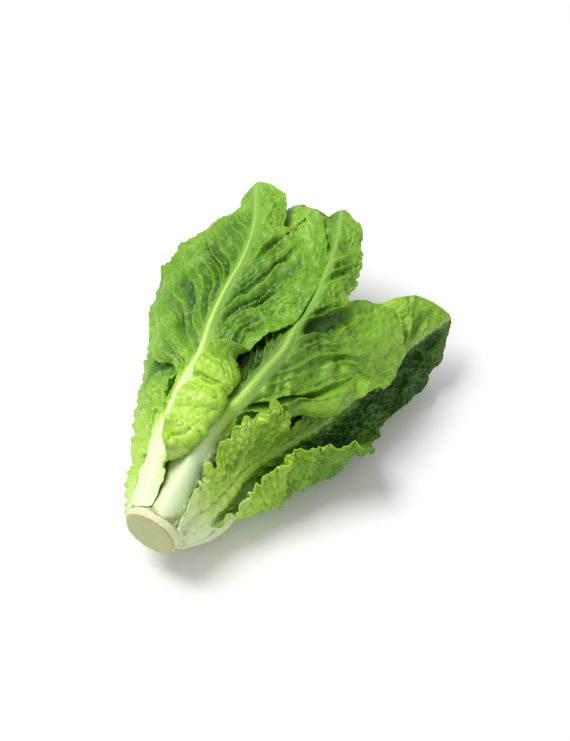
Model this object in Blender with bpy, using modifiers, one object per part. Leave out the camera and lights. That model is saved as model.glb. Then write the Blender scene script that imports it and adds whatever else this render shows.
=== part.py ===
"""Romaine lettuce head, lying on its side as picked and trimmed.

A cut stem at -X carries six broad outer leaves that fan out and overlap, and three whorls of smaller
leaves inside them. Every leaf is a grid bent along its midrib: a thick rib with a thin waved blade on
either side, each blade turned along its own section curve. Solidify gives it its thickness inwards.
Leaves are laid from the outside in, and each one is bent clear of those already laid.
Lengths below are millimetres and angles degrees; the objects are in metres, +Z up.
"""

import math

import bmesh
import bpy
import numpy as np
from mathutils import Vector
from mathutils.bvhtree import BVHTree

# The whole head
NAME = "romaine_lettuce_head"
MM = 0.001
AXIS_HEIGHT = 44.0  # the head's axis above the surface that it lies on

# The stem: place along the head and radius, tip first
STEM_PROFILE = [(92, 0), (90, 2), (70, 5), (50, 8), (30, 11), (18, 12.6), (11, 14.2), (6.5, 16.6), (2.5, 18.6),
                (-1.5, 19.4), (-3.2, 19.2), (-4, 18.4), (-4, 0)]
STEM_LINE = np.array(STEM_PROFILE[-2::-1], float).T
STEM_SIDES = 28
STEM_ROOM = 1.0

# Ribs and blades, each against the share of the leaf's length from base to tip
BLADE_THICKNESS = 0.9
THINNEST = 0.7
THICKEST = 8.0
RIB_HALF_WIDTH = [(0.0, 7.5), (0.06, 9.0), (0.14, 9.0), (0.27, 7.2), (0.42, 5.4), (0.6, 3.8), (0.75, 2.6),
                  (0.9, 1.7), (1.0, 1.0)]
RIB_RAISE = [(0.0, 1.0), (0.06, 3.0), (0.4, 3.0), (0.65, 1.8), (0.85, 0.8), (1.0, 0.0)]
RIB_ROUNDING = [(0.0, 0.24), (0.15, 0.15), (0.4, 0.08), (1.0, 0.02)]
TIP_SHARE = 0.1  # the end of the leaf over which its outline rounds off
TIP_BLUNTNESS = 0.25  # how much of its width is left at the very end
SECTION_STEPS = 24

# Room kept between leaves, and how far round a point it is looked for
LEAF_GAP = 1.4
FEEL = 5.0
SMOOTHING = 5
CLEARING_ROUNDS = 30
CLEARING_STEP = 0.6
CLEARING_REACH = 11.0
FOLD_REACH = 12.0
REACH_OF_RAYS = 160.0

# Outer leaves. rib: points on its outer face (x, y, z) from the head's axis near the cut.
# facing: (share, angle of the outer face from straight up towards +y).
# left and right: (share, width, lean, bend, roll, sweep) of each blade, where lean is its angle to the
# face beside the rib, bend and roll turn it on the way to the margin, and sweep runs its veins forward.
OUTER_LEAVES = {
    "outer_leaf_1": {
        "rib": [(2, 12.5, 16), (14, 18, 19), (28, 22.6, 22), (65, 30, 30), (93, 34, 38), (118, 34, 45),
                (142, 40, 48), (171, 45, 50), (200, 48, 52), (231, 57, 52), (258, 71, 51), (272, 79, 47)],
        "facing": [(0, 40), (0.3, 42), (0.5, 30), (0.75, 20), (1, 30)],
        "left": [(0, 3, -28, -15, 0, 0.1), (0.12, 12, -16, -18, 0, 0.2), (0.22, 19, -8, -16, 0, 0.25),
                 (0.3, 22, -8, -16, 0, 0.35), (0.34, 26, -8, -18, 0, 0.45), (0.375, 50, -6, -16, 0, 0.5),
                 (0.43, 64, -4, -14, 0, 0.55), (0.51, 68, -4, -12, 0, 0.62), (0.58, 71, -5, -12, 0, 0.7),
                 (0.65, 66, -5, -12, 0, 0.8), (0.71, 57, -6, -12, 0, 0.87), (0.77, 50, -6, -12, 0, 0.88),
                 (0.82, 37, -8, -14, 0, 0.8), (0.87, 22, -9, -14, 0, 0.6), (0.91, 16, -10, -14, 0, 0.5),
                 (0.95, 17, -10, -10, 0, 0.2), (1, 15, -10, -10, 0, 0)],
        "right": [(0, 1, -10, -15, 0, 0.1), (0.085, 5, 4, 0, 0, 0.1), (0.115, 15, 0, 0, 50, 0.1),
                  (0.145, 34, -4, 0, 115, 0.12), (0.19, 54, -12, 0, 148, 0.15), (0.25, 67, -18, 0, 158, 0.2),
                  (0.315, 70, -20, 0, 160, 0.2), (0.365, 62, -20, 0, 150, 0.25), (0.39, 44, -18, 0, 90, 0.25),
                  (0.41, 32, -14, -6, 10, 0.28), (0.435, 38, -14, -6, 0, 0.3), (0.5, 49, -16, -6, 0, 0.33),
                  (0.6, 52, -16, -8, 0, 0.45), (0.66, 50, -15, -9, 0, 0.55), (0.7, 44, -14, -10, 0, 0.7),
                  (0.735, 34, -10, -12, 0, 1.0), (0.765, 16, -12, -10, 0, 0.7), (0.85, 14, -12, -10, 0, 0.4),
                  (0.93, 14, -10, -10, 0, 0.2), (1, 14, -10, 0, 0, 0)],
        "right_roll": (0.42, 0.7),
        "ruffle": [(0, 0), (0.15, 1), (0.25, 2), (0.4, 2), (0.5, 3), (0.7, 3), (0.9, 1), (1, 0)],
        "waves": 6.5, "phase": 0.4,
        "rib_scale": 0.85,
        "rows": [0, 0.055, 0.1, 0.14, 0.18, 0.23, 0.28, 0.325, 0.357, 0.38, 0.405, 0.44, 0.485, 0.54, 0.6, 0.66,
                 0.71, 0.74, 0.77, 0.82, 0.87, 0.92, 0.965, 1],
    },
    "outer_leaf_2": {
        "rib": [(2, -7.5, 17), (18, -6.5, 23.5), (33, -5.5, 28.5), (63, -4, 39), (81, -10, 47), (100, -16, 53),
                (120, -19, 57), (137, -21, 58), (162, -18, 60), (188, -17, 62), (210, -13, 62), (240, -5, 60),
                (267, 5, 57), (274, 8, 54)],
        "facing": [(0, -18), (0.2, -12), (0.45, -10), (0.7, -8), (1, 8)],
        "left": [(0, 1, -45, -15, 0, 0.1), (0.1, 4, -45, -20, 0, 0.1), (0.2, 20, -40, -16, 0, 0.3),
                 (0.3, 34, -40, -12, 0, 0.4), (0.5, 46, -40, 0, 0, 0.6), (0.65, 38, -34, -6, 0, 0.6),
                 (0.8, 24, -18, -15, 0, 0.5), (0.9, 19, -10, -16, 0, 0.3), (1, 14, -10, 0, 0, 0)],
        "right": [(0, 4, -28, -15, 0, 0.1), (0.12, 12, -50, -20, 0, 0.1), (0.24, 18, -62, -10, 0, 0.2),
                  (0.3, 20, -56, -10, 0, 0.3), (0.335, 36, -30, -20, 0, 0.7), (0.38, 62, -16, -22, 0, 0.72),
                  (0.44, 79, -14, -24, 0, 0.73), (0.52, 67, -14, -26, 0, 0.97), (0.58, 54, -16, -24, 0, 1.15),
                  (0.62, 34, -16, -24, 0, 1.2), (0.66, 20, -20, -14, 0, 0.9), (0.73, 26, -20, -18, 0, 0.8),
                  (0.8, 22, -18, -18, 0, 0.6), (0.88, 17, -14, -16, 0, 0.3), (1, 12, -10, 0, 0, 0)],
        "ruffle": [(0, 0), (0.15, 0), (0.3, 1), (0.4, 3), (0.7, 2), (0.9, 1), (1, 0)],
        "waves": 7, "phase": 2.1, "rib_scale": 1.2,
        "rows": [0, 0.05, 0.1, 0.16, 0.22, 0.27, 0.3, 0.318, 0.34, 0.38, 0.43, 0.48, 0.53, 0.57, 0.605, 0.635,
                 0.67, 0.72, 0.78, 0.85, 0.92, 0.965, 1],
    },
    "outer_leaf_3": {
        "rib": [(2, -19, 3), (30, -28, -2.5), (46, -31, -2), (72, -34, 1), (99, -45, 3), (128, -57, 4),
                (171, -68, 7), (214, -78, 8), (237, -84, 8), (260, -91, 5)],
        "facing": [(0, -84), (0.3, -80), (0.6, -66), (1, -60)],
        "left": [(0, 4, -28, -15, 0, 0.1), (0.1, 15, -10, -45, 0, 0.1), (0.15, 20, 0, -55, 0, 0.1),
                 (0.2, 24, 6, -58, 0, 0.2), (0.25, 29, 10, -58, 0, 0.3), (0.29, 34, 12, -54, 0, 0.3),
                 (0.33, 37, 14, -48, 0, 0.3), (0.365, 28, 12, -40, 0, 0.2), (0.39, 10, -10, -30, 0, 0.2),
                 (0.43, 6, -24, -30, 0, 0.3), (0.47, 14, -32, -30, 0, 0.5), (0.54, 32, -32, -30, 0, 0.6),
                 (0.7, 40, -22, -24, 0, 0.7), (0.86, 30, -16, -24, 0, 0.4), (1, 16, -10, 0, 0, 0)],
        "right": [(0, 1, -28, -15, 0, 0.1), (0.09, 2, -28, -10, 0, 0.1), (0.125, 13, -6, 0, 90, 0.15),
                  (0.16, 34, 12, 0, 145, 0.2), (0.22, 54, 18, 0, 157, 0.2), (0.3, 64, 18, 0, 160, 0.3),
                  (0.38, 67, 14, -6, 154, 0.35), (0.44, 61, 4, -8, 130, 0.4), (0.5, 46, -16, -6, 95, 0.45),
                  (0.56, 40, -32, 0, 75, 0.5), (0.7, 40, -42, 0, 75, 0.6), (0.85, 32, -38, 0, 60, 0.4),
                  (1, 14, -20, 0, 20, 0)],
        "right_roll": (0.27, 0.57),
        "ruffle": [(0, 0), (0.15, 1), (0.3, 2), (0.4, 1.5), (0.55, 2.5), (0.7, 2.5), (0.9, 1), (1, 0)],
        "waves": 7, "phase": 4.0,
        "over": "outer_leaf_2", "over_share": 0.38, "rib_scale": 0.75,
        "rows": [0, 0.05, 0.09, 0.125, 0.16, 0.2, 0.25, 0.3, 0.34, 0.365, 0.39, 0.41, 0.435, 0.475, 0.53, 0.59,
                 0.66, 0.73, 0.8, 0.87, 0.93, 0.97, 1],
    },
    "outer_leaf_4": {
        "rib": [(2, -19, -12), (16, -30, -19), (28, -38, -23), (44, -44, -26), (66, -49, -29), (95, -55, -32),
                (130, -62, -34), (180, -72, -36), (236, -80, -35)],
        "facing": [(0, -122), (0.2, -124), (0.5, -132), (1, -145)],
        "left": [(0, 1, -28, -15, 0, 0.1), (0.12, 6, -14, -10, 0, 0.1), (0.3, 14, -4, -10, 0, 0.2),
                 (0.5, 18, 0, -10, 0, 0.3), (0.75, 20, 0, -10, 0, 0.4), (0.9, 18, 0, -10, 0, 0.3),
                 (1, 12, 0, 0, 0, 0)],
        "right": [(0, 1, -28, -15, 0, 0.1), (0.2, 16, -22, -24, 0, 0.2), (0.45, 38, -14, -20, 0, 0.4),
                  (0.7, 40, -10, -20, 0, 0.5), (0.88, 28, -8, -16, 0, 0.4), (1, 12, -10, 0, 0, 0)],
        "ruffle": [(0, 0), (0.2, 0.5), (0.4, 1.5), (0.7, 1.5), (1, 0)],
        "waves": 7, "phase": 1.0,
    },
    "outer_leaf_5": {
        "rib": [(2, 20, -3), (14, 30, -5), (24, 37, -6), (46, 48, -8), (70, 60, -10), (94, 73, -13),
                (130, 86, -16), (165, 95, -19), (200, 102, -22), (236, 107, -24)],
        "facing": [(0, 102), (0.4, 98), (1, 90)],
        "left": [(0, 3, -28, -15, 0, 0.1), (0.2, 14, -20, -16, 0, 0.2), (0.4, 24, -4, 0, 0, 0.3),
                 (0.6, 26, 4, 10, 0, 0.4), (0.8, 24, 4, 10, 0, 0.4), (1, 12, 0, 0, 0, 0)],
        "right": [(0, 3, -28, -15, 0, 0.1), (0.1, 12, -14, -10, 0, 0.1), (0.22, 26, 0, 0, 30, 0.2),
                  (0.36, 30, 0, 0, 30, 0.3), (0.45, 26, -10, -10, 0, 0.4), (0.58, 38, -18, -20, 0, 0.5),
                  (0.75, 40, -18, -20, 0, 0.5), (0.88, 30, -14, -16, 0, 0.4), (1, 14, 0, 0, 0, 0)],
        "right_roll": (0.2, 0.6),
        "ruffle": [(0, 0), (0.15, 1), (0.4, 2), (0.7, 2), (1, 0)],
        "waves": 6.5, "phase": 3.0,
    },
    "outer_leaf_6": {
        "rib": [(2, 3.5, -19), (25, 5, -30), (60, 8, -39), (110, 12, -43), (170, 18, -44), (225, 25, -43),
                (256, 30, -39)],
        "facing": [(0, 170), (1, 172)],
        "left": [(0, 3, -28, -15, 0, 0.1), (0.2, 14, -22, -16, 0, 0.2), (0.45, 36, -10, -12, 0, 0.4),
                 (0.7, 40, -8, -12, 0, 0.5), (0.88, 28, -6, -6, 0, 0.4), (1, 14, -6, 0, 0, 0)],
        "right": [(0, 3, -28, -15, 0, 0.1), (0.2, 16, -22, -16, 0, 0.2), (0.45, 42, -8, -8, 0, 0.4),
                  (0.7, 46, -6, -6, 0, 0.5), (0.88, 30, -6, -6, 0, 0.4), (1, 14, -6, 0, 0, 0)],
        "ruffle": [(0, 0), (0.15, 0.5), (0.4, 1.5), (0.7, 1.5), (1, 0)],
        "waves": 6, "phase": 5.0,
    },
}
PLAIN_ROWS = [0, 0.05, 0.11, 0.18, 0.26, 0.34, 0.42, 0.5, 0.58, 0.66, 0.74, 0.81, 0.87, 0.92, 0.965, 1]
OUTER_COLUMNS = (0.2, 0.36, 0.46, 0.56, 0.67, 0.83, 1.0)

# Inner whorls, nested inside the room that the outer leaves leave.
# name: (angles of its leaves, start, lengths, share of the room, half widths in degrees, share of a full rib)
WHORLS = {
    "second_leaf": ((33, -58, -142, 118), 32, (269, 200, 236, 232), 0.9, (40, 42, 50, 50), 0.7),
    "inner_leaf": ((-18, 74, 170, -98), 50, (196, 190, 186, 180), 0.66, (58, 56, 56, 50), 0.55),
    "heart_leaf": ((30, 150, -90), 68, (150, 142, 134), 0.40, (70, 70, 70), 0.5),
}
PINWHEEL = 0.075  # how far each leaf of a whorl steps in over a quarter turn, as a share of its radius
INNER_ROWS = [0, 0.07, 0.15, 0.25, 0.36, 0.48, 0.6, 0.71, 0.81, 0.89, 0.95, 1]
INNER_COLUMNS = (0.3, 0.65, 1.0)
ROOM_STEP_X, ROOM_STEP_ANGLE = 8.0, 10.0
WIDEST_ROOM = 70.0

COLOURS = {
    "stem": (0.80, 0.72, 0.50),
    "outer_leaf": (0.20, 0.42, 0.06),
    "second_leaf": (0.28, 0.50, 0.08),
    "inner_leaf": (0.44, 0.60, 0.16),
    "heart_leaf": (0.62, 0.68, 0.28),
}


def smooth_step(x):
    x = np.clip(x, 0.0, 1.0)
    return x * x * (3.0 - 2.0 * x)


def along(stations, u):
    """A smooth curve through rows of (u, value, ...), read at every u."""
    table = np.array(stations, float)
    knots, values = table[:, 0], table[:, 1:]
    spans = np.diff(knots)[:, None]
    secants = np.diff(values, axis=0) / spans
    slopes = np.zeros_like(values)
    slopes[0], slopes[-1] = secants[0], secants[-1]
    slopes[1:-1] = (secants[:-1] * spans[1:] + secants[1:] * spans[:-1]) / (spans[1:] + spans[:-1])
    u = np.clip(u, knots[0], knots[-1])
    i = np.clip(np.searchsorted(knots, u, side="right") - 1, 0, len(knots) - 2)
    h = (knots[i + 1] - knots[i])[..., None]
    x = (u - knots[i])[..., None] / h
    return (values[i] * (1 + 2 * x) * (1 - x) ** 2 + slopes[i] * h * x * (1 - x) ** 2
            + values[i + 1] * x * x * (3 - 2 * x) + slopes[i + 1] * h * x * x * (x - 1))


def unit(v):
    return v / np.maximum(np.linalg.norm(v, axis=-1, keepdims=True), 1e-9)


def rib_by_length(points):
    """Rib points with their share of its length in front, and the length itself."""
    points = np.array(points, float)
    run = np.concatenate([[0.0], np.cumsum(np.linalg.norm(np.diff(points, axis=0), axis=1))])
    return np.column_stack([run / run[-1], points]), run[-1]


def tip_rounding(u, share):
    """How much of the leaf's width is left near its tip."""
    return np.maximum(np.sqrt(np.clip(1 - np.clip((u - 1 + share) / share, 0, 1) ** 2, 0, 1)), TIP_BLUNTNESS)


def leaf_surface(leaf, u, v):
    """The outer face at base-to-tip share u and left-to-right place v. The rib's edges are at -1 and 1 and
    the margins at -2 and 2. Gives the points and the leaf's thickness there."""
    side = np.where(v < 0, -1.0, 1.0)
    right = v > 0
    across = np.clip(np.abs(v), 0, 1)
    t = np.clip(np.abs(v) - 1, 0, 1)
    blade = np.where(right[..., None], along(leaf["right"], u), along(leaf["left"], u))
    width, lean, bend, roll, sweep = np.moveaxis(blade, -1, 0)
    start = np.where(right, leaf.get("right_roll", (0.4, 0.8))[0], leaf.get("left_roll", (0.4, 0.8))[0])
    stop = np.where(right, leaf.get("right_roll", (0.4, 0.8))[1], leaf.get("left_roll", (0.4, 0.8))[1])
    rounding = tip_rounding(u, TIP_SHARE)
    width = width * rounding

    rib, length = rib_by_length(leaf["rib"])
    swept = np.clip(u + sweep * width * t / length, 0, 1)
    centre = along(rib, swept)
    tangent = unit(along(rib, np.clip(swept, 0, 0.99) + 0.01) - along(rib, np.clip(swept, 0.01, 1) - 0.01))
    facing = np.radians(along(leaf["facing"], swept)[..., 0])
    normal = np.stack([np.zeros_like(facing), np.sin(facing), np.cos(facing)], -1)
    normal = unit(normal - (normal * tangent).sum(-1, keepdims=True) * tangent)
    sideways = np.cross(tangent, normal)

    out, up = np.zeros_like(t), np.zeros_like(t)
    for k in range(SECTION_STEPS):
        s = t * (k + 0.5) / SECTION_STEPS
        angle = np.radians(lean + bend * s + roll * smooth_step((s - start) / (stop - start)))
        out += np.cos(angle) * t / SECTION_STEPS
        up += np.sin(angle) * t / SECTION_STEPS
    edge = np.radians(lean + bend * t + roll * smooth_step((t - start) / (stop - start)))
    wave = np.sin(2 * math.pi * leaf["waves"] * u + leaf["phase"] + 2.0 * side)
    lift = along(leaf["ruffle"], u)[..., 0] * t ** 1.6 * wave * rounding

    scale = leaf.get("rib_scale", 1.0)
    half = along(RIB_HALF_WIDTH, u)[..., 0] * scale * rounding
    crest = along(RIB_RAISE, u)[..., 0] * scale
    raised = crest * (1 - across ** 2) ** 1.2
    x = side * (half * across + width * out - lift * np.sin(edge))
    z = width * up + lift * np.cos(edge) + raised - crest - along(RIB_ROUNDING, u)[..., 0] * half * across ** 2
    points = centre + sideways * x[..., None] + normal * z[..., None]
    return points, BLADE_THICKNESS + raised


def first_hit(tree, x, angle, last=False):
    """Distance from the head's axis at x, at an angle round it, to the first or last face of a leaf."""
    way = Vector((0, math.sin(angle), math.cos(angle)))
    travelled, found = 0.0, None
    while travelled < REACH_OF_RAYS:
        place, _, _, distance = tree.ray_cast(Vector((x, 0, 0)) + way * travelled, way)
        if place is None:
            break
        travelled += distance + 0.05
        found = travelled
        if not last:
            break
    return found


def spread_out(field, keep):
    """Let a field of moves fade into the points round it without losing any of it."""
    for _ in range(SMOOTHING):
        edge = np.pad(field, 1, mode="edge")
        mean = (edge[:-2, 1:-1] + edge[2:, 1:-1] + edge[1:-1, :-2] + edge[1:-1, 2:]) / 4
        field = keep(field, mean)
    return field


def move_out(points, distance):
    """Move points away from the head's axis, or towards it where the distance is negative."""
    radius = np.hypot(points[..., 1], points[..., 2])
    moved = points.copy()
    moved[..., 1:] *= (np.maximum(radius + distance, 1.0) / np.maximum(radius, 1e-6))[..., None]
    return moved


def lay(leaf, points, thickness, lies_over, laid):
    """Bend a leaf's grid inwards from the leaves outside it, and outwards from one that it lies on."""
    rows, columns, _ = points.shape
    inwards, outwards = np.zeros((rows, columns)), np.zeros((rows, columns))
    radius = np.hypot(points[..., 1], points[..., 2])
    angles = np.arctan2(points[..., 1], points[..., 2])
    for i in range(rows):
        for j in range(columns):
            x, reach, angle = points[i, j, 0], radius[i, j], angles[i, j]
            for dx, da in ((0, 0), (FEEL, 0), (-FEEL, 0), (0, FEEL / reach), (0, -FEEL / reach)):
                for name, tree in laid.items():
                    if lies_over[i, j] and name == leaf["over"]:
                        hit = first_hit(tree, x + dx, angle + da, last=True)
                        if hit is not None:
                            outwards[i, j] = max(outwards[i, j], hit + thickness[i, j] + LEAF_GAP - reach)
                    elif not lies_over[i, j]:
                        hit = first_hit(tree, x + dx, angle + da)
                        if hit is not None:
                            inwards[i, j] = max(inwards[i, j], reach + LEAF_GAP - hit)
    return move_out(points, spread_out(outwards, np.maximum) - spread_out(inwards, np.maximum))


def settle(points, thickness):
    """Keep a leaf outside the stem and above the surface that the head lies on."""
    stem = np.interp(points[..., 0], *STEM_LINE, right=0) + thickness + STEM_ROOM
    radius = np.hypot(points[..., 1], points[..., 2])
    points = move_out(points, np.maximum(stem - radius, 0))
    below = np.minimum(points[..., 2], -1e-6)
    radius = np.hypot(points[..., 1], points[..., 2])
    return move_out(points, np.minimum(radius * (-AXIS_HEIGHT / below - 1), 0))


def make_material(name, colour, roughness):
    material = bpy.data.materials.new(name)
    material.use_nodes = True
    shader = material.node_tree.nodes["Principled BSDF"]
    shader.inputs["Base Color"].default_value = (*colour, 1)
    shader.inputs["Roughness"].default_value = roughness
    material.diffuse_color = (*colour, 1)
    return material


def fill_mesh(mesh, points, thickness):
    """Put a leaf's grid, bent to its points, into a mesh, with its thickness as a vertex weight."""
    rows, columns, _ = points.shape
    shape = bmesh.new()
    bmesh.ops.create_grid(shape, x_segments=rows - 1, y_segments=columns - 1, size=1)
    layer = shape.verts.layers.deform.verify()
    for vertex in shape.verts:
        i = round((vertex.co.x + 1) / 2 * (rows - 1))
        j = round((vertex.co.y + 1) / 2 * (columns - 1))
        vertex.co = Vector(points[i, j]) * MM
        vertex[layer][0] = thickness[i, j] / THICKEST
    bmesh.ops.remove_doubles(shape, verts=shape.verts, dist=0.05 * MM)
    shape.to_mesh(mesh)
    shape.free()


def solid_tree(leaf_object):
    """A search tree of a finished leaf, in millimetres, and the middle and corners of each of its faces."""
    evaluated = leaf_object.evaluated_get(bpy.context.evaluated_depsgraph_get())
    mesh = evaluated.to_mesh()
    places = [v.co / MM for v in mesh.vertices]
    faces = [tuple(p.vertices) for p in mesh.polygons]
    tree = BVHTree.FromPolygons(places, faces)
    middles = np.array([sum((places[k] for k in face), Vector()) / len(face) for face in faces])
    evaluated.to_mesh_clear()
    return tree, middles, faces


def relax(points, thickness, tree, middles, faces):
    """Smooth and thin a leaf wherever it would run into itself. Also says whether it did anywhere."""
    folded = np.zeros(points.shape[:2], bool)
    for a, b in tree.overlap(tree):
        if a < b and not set(faces[a]) & set(faces[b]):
            folded |= np.linalg.norm(points - middles[a], axis=-1) < FOLD_REACH
    edge = np.pad(points, ((1, 1), (1, 1), (0, 0)), mode="reflect", reflect_type="odd")
    mean = (edge[:-2, 1:-1] + edge[2:, 1:-1] + edge[1:-1, :-2] + edge[1:-1, 2:]) / 4
    points = np.where(folded[..., None], points * 0.5 + mean * 0.5, points)
    thickness = np.where(folded, np.maximum(thickness * 0.85, THINNEST), thickness)
    return points, thickness, folded.any()


def grid_of(rows, columns, rib_columns):
    """Base-to-tip shares and left-to-right places of a leaf's grid."""
    blade = np.array(columns)
    return np.meshgrid(rows, np.concatenate([-1 - blade[::-1], rib_columns, 1 + blade]), indexing="ij")


def make_leaf(name, points, thickness, outward, collection, material, laid):
    """One leaf: a grid bent to its points, triangulated and thickened, and moved clear of its neighbours."""
    mesh = bpy.data.meshes.new(name)
    mesh.materials.append(material)
    leaf_object = bpy.data.objects.new(name, mesh)
    leaf_object.vertex_groups.new(name="thickness")
    collection.objects.link(leaf_object)
    split = leaf_object.modifiers.new("split", "TRIANGULATE")
    split.quad_method = "SHORTEST_DIAGONAL"
    wall = leaf_object.modifiers.new("wall", "SOLIDIFY")
    wall.thickness = THICKEST * MM
    wall.offset = 1
    wall.vertex_group = "thickness"

    for _ in range(CLEARING_ROUNDS):
        fill_mesh(mesh, points, thickness)
        tree, middles, faces = solid_tree(leaf_object)
        touched = np.zeros(points.shape[:2], bool)
        for other_tree in laid.values():
            for face, _ in tree.overlap(other_tree):
                touched |= np.linalg.norm(points - middles[face], axis=-1) < CLEARING_REACH
        points, thickness, folded = relax(points, thickness, tree, middles, faces)
        if not (folded or touched.any()):
            break
        out = spread_out(CLEARING_STEP * (touched & outward), np.maximum)
        inwards = spread_out(CLEARING_STEP * (touched & ~outward), np.maximum)
        points = settle(move_out(points, out - inwards), thickness)
    laid[name] = tree
    return leaf_object


def measure_room(laid):
    """How far from the axis the laid leaves begin, as a table over the head's length and round its axis."""
    xs = np.arange(0, 280, ROOM_STEP_X)
    angles = np.radians(np.arange(-180, 180, ROOM_STEP_ANGLE))
    room = np.full((len(xs), len(angles)), WIDEST_ROOM)
    for i, x in enumerate(xs):
        for j, angle in enumerate(angles):
            hits = [first_hit(tree, x, angle) for tree in laid.values()]
            room[i, j] = min([WIDEST_ROOM] + [hit for hit in hits if hit is not None])
    for smallest in (True, False, False):
        edge = np.pad(np.pad(room, ((1, 1), (0, 0)), mode="edge"), ((0, 0), (1, 1)), mode="wrap")
        near = [edge[a:a + room.shape[0], b:b + room.shape[1]] for a in range(3) for b in range(3)]
        room = np.min(near, axis=0) if smallest else np.minimum(room, np.mean(near, axis=0))
    return room


def read_room(room, x, angle):
    """The room at a place along and round the head, between the table's entries."""
    rows, columns = room.shape
    a = np.clip(x / ROOM_STEP_X, 0, rows - 1.001)
    b = (np.degrees(angle) + 180) / ROOM_STEP_ANGLE % columns
    i, j = np.floor(a).astype(int), np.floor(b).astype(int) % columns
    da, db = a - np.floor(a), b - np.floor(b)
    k = (j + 1) % columns
    return ((room[i, j] * (1 - db) + room[i, k] * db) * (1 - da)
            + (room[i + 1, j] * (1 - db) + room[i + 1, k] * db) * da)


def whorl_surface(room, u, v, angle, start, length, share, spread, rib_scale):
    """The outer face of a whorl's leaf, cupped round the axis on a shell that shares the measured room."""
    side = np.where(v < 0, -1.0, 1.0)
    across, t = np.clip(np.abs(v), 0, 1), np.clip(np.abs(v) - 1, 0, 1)
    rounding = tip_rounding(u, 2 * TIP_SHARE)
    x = start + (length - start) * np.clip(u + 0.12 * t * rounding, 0, 1)
    opening = along([(0, 0.25), (0.25, 0.45), (0.5, 0.95), (0.75, 1.0), (1, 0.6)], u)[..., 0] * rounding
    half = along(RIB_HALF_WIDTH, u)[..., 0] * rib_scale * rounding
    foot = np.interp(start, *STEM_LINE)
    middle = read_room(room, x, np.full_like(x, math.radians(angle))) * share
    turn = side * (across * half / np.maximum(middle, foot) + np.radians(spread) * opening * t)
    around = math.radians(angle) - turn
    around = (around + math.pi) % (2 * math.pi) - math.pi
    radius = read_room(room, x, around) * share * (1 + PINWHEEL * turn / (math.pi / 2))
    crest = along(RIB_RAISE, u)[..., 0] * rib_scale
    raised = crest * (1 - across ** 2)
    radius = radius + raised - crest
    points = np.stack([x, radius * np.sin(around), radius * np.cos(around)], -1)
    return points, BLADE_THICKNESS + raised


def make_stem(collection, material):
    """The stem: a turned profile whose axis is laid along the head."""
    mesh = bpy.data.meshes.new("stem")
    shape = bmesh.new()
    ring = [shape.verts.new((radius * MM, 0, x * MM)) for x, radius in STEM_PROFILE]
    for a, b in zip(ring, ring[1:]):
        shape.edges.new((a, b))
    shape.to_mesh(mesh)
    shape.free()
    stem = bpy.data.objects.new("stem", mesh)
    collection.objects.link(stem)
    mesh.materials.append(material)
    turn = stem.modifiers.new("turn", "SCREW")
    turn.steps = turn.render_steps = STEM_SIDES
    turn.use_merge_vertices = True
    turn.merge_threshold = 0.00001
    stem.rotation_euler = (0, math.radians(90), 0)
    return stem


def reach_of(made):
    """The lowest and highest corner of all finished objects, before they are moved."""
    graph = bpy.context.evaluated_depsgraph_get()
    boxes = [(item.matrix_world, item.evaluated_get(graph).bound_box) for item in made]
    corners = [place @ Vector(corner) for place, box in boxes for corner in box]
    return np.min(corners, axis=0), np.max(corners, axis=0)


def main():
    for old in list(bpy.data.objects):
        bpy.data.objects.remove(old)
    collection = bpy.data.collections.new(NAME)
    bpy.context.scene.collection.children.link(collection)
    materials = {key: make_material(key, colour, 0.5) for key, colour in COLOURS.items()}

    made = [make_stem(collection, materials["stem"])]
    laid = {}
    for name, leaf in OUTER_LEAVES.items():
        u, v = grid_of(leaf.get("rows", PLAIN_ROWS), OUTER_COLUMNS, (-1.0, -0.5, 0.0, 0.5, 1.0))
        points, thickness = leaf_surface(leaf, u, v)
        lies_over = (v < -1) & (u < leaf.get("over_share", 0))
        points = settle(lay(leaf, points, thickness, lies_over, laid), thickness)
        made.append(make_leaf(name, points, thickness, lies_over, collection, materials["outer_leaf"], laid))

    room = measure_room(laid)
    u, v = grid_of(INNER_ROWS, INNER_COLUMNS, (-1.0, 0.0, 1.0))
    for whorl, (angles, start, lengths, share, spreads, rib_scale) in WHORLS.items():
        for number, (angle, length, spread) in enumerate(zip(angles, lengths, spreads), 1):
            points, thickness = whorl_surface(room, u, v, angle, start, length, share, spread, rib_scale)
            points = settle(points, thickness)
            made.append(make_leaf(f"{whorl}_{number}", points, thickness, np.zeros_like(u, bool), collection,
                                  materials[whorl], laid))

    anchor = bpy.data.objects.new("head", None)
    collection.objects.link(anchor)
    for item in made:
        item.parent = anchor
    low, high = reach_of(made)
    anchor.location = (-(low[0] + high[0]) / 2, -(low[1] + high[1]) / 2, AXIS_HEIGHT * MM)
    bpy.context.view_layer.update()


main()
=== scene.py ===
import math
from functools import partial

import bmesh
import bpy
import numpy as np
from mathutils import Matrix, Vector
from mathutils.bvhtree import BVHTree


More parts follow.
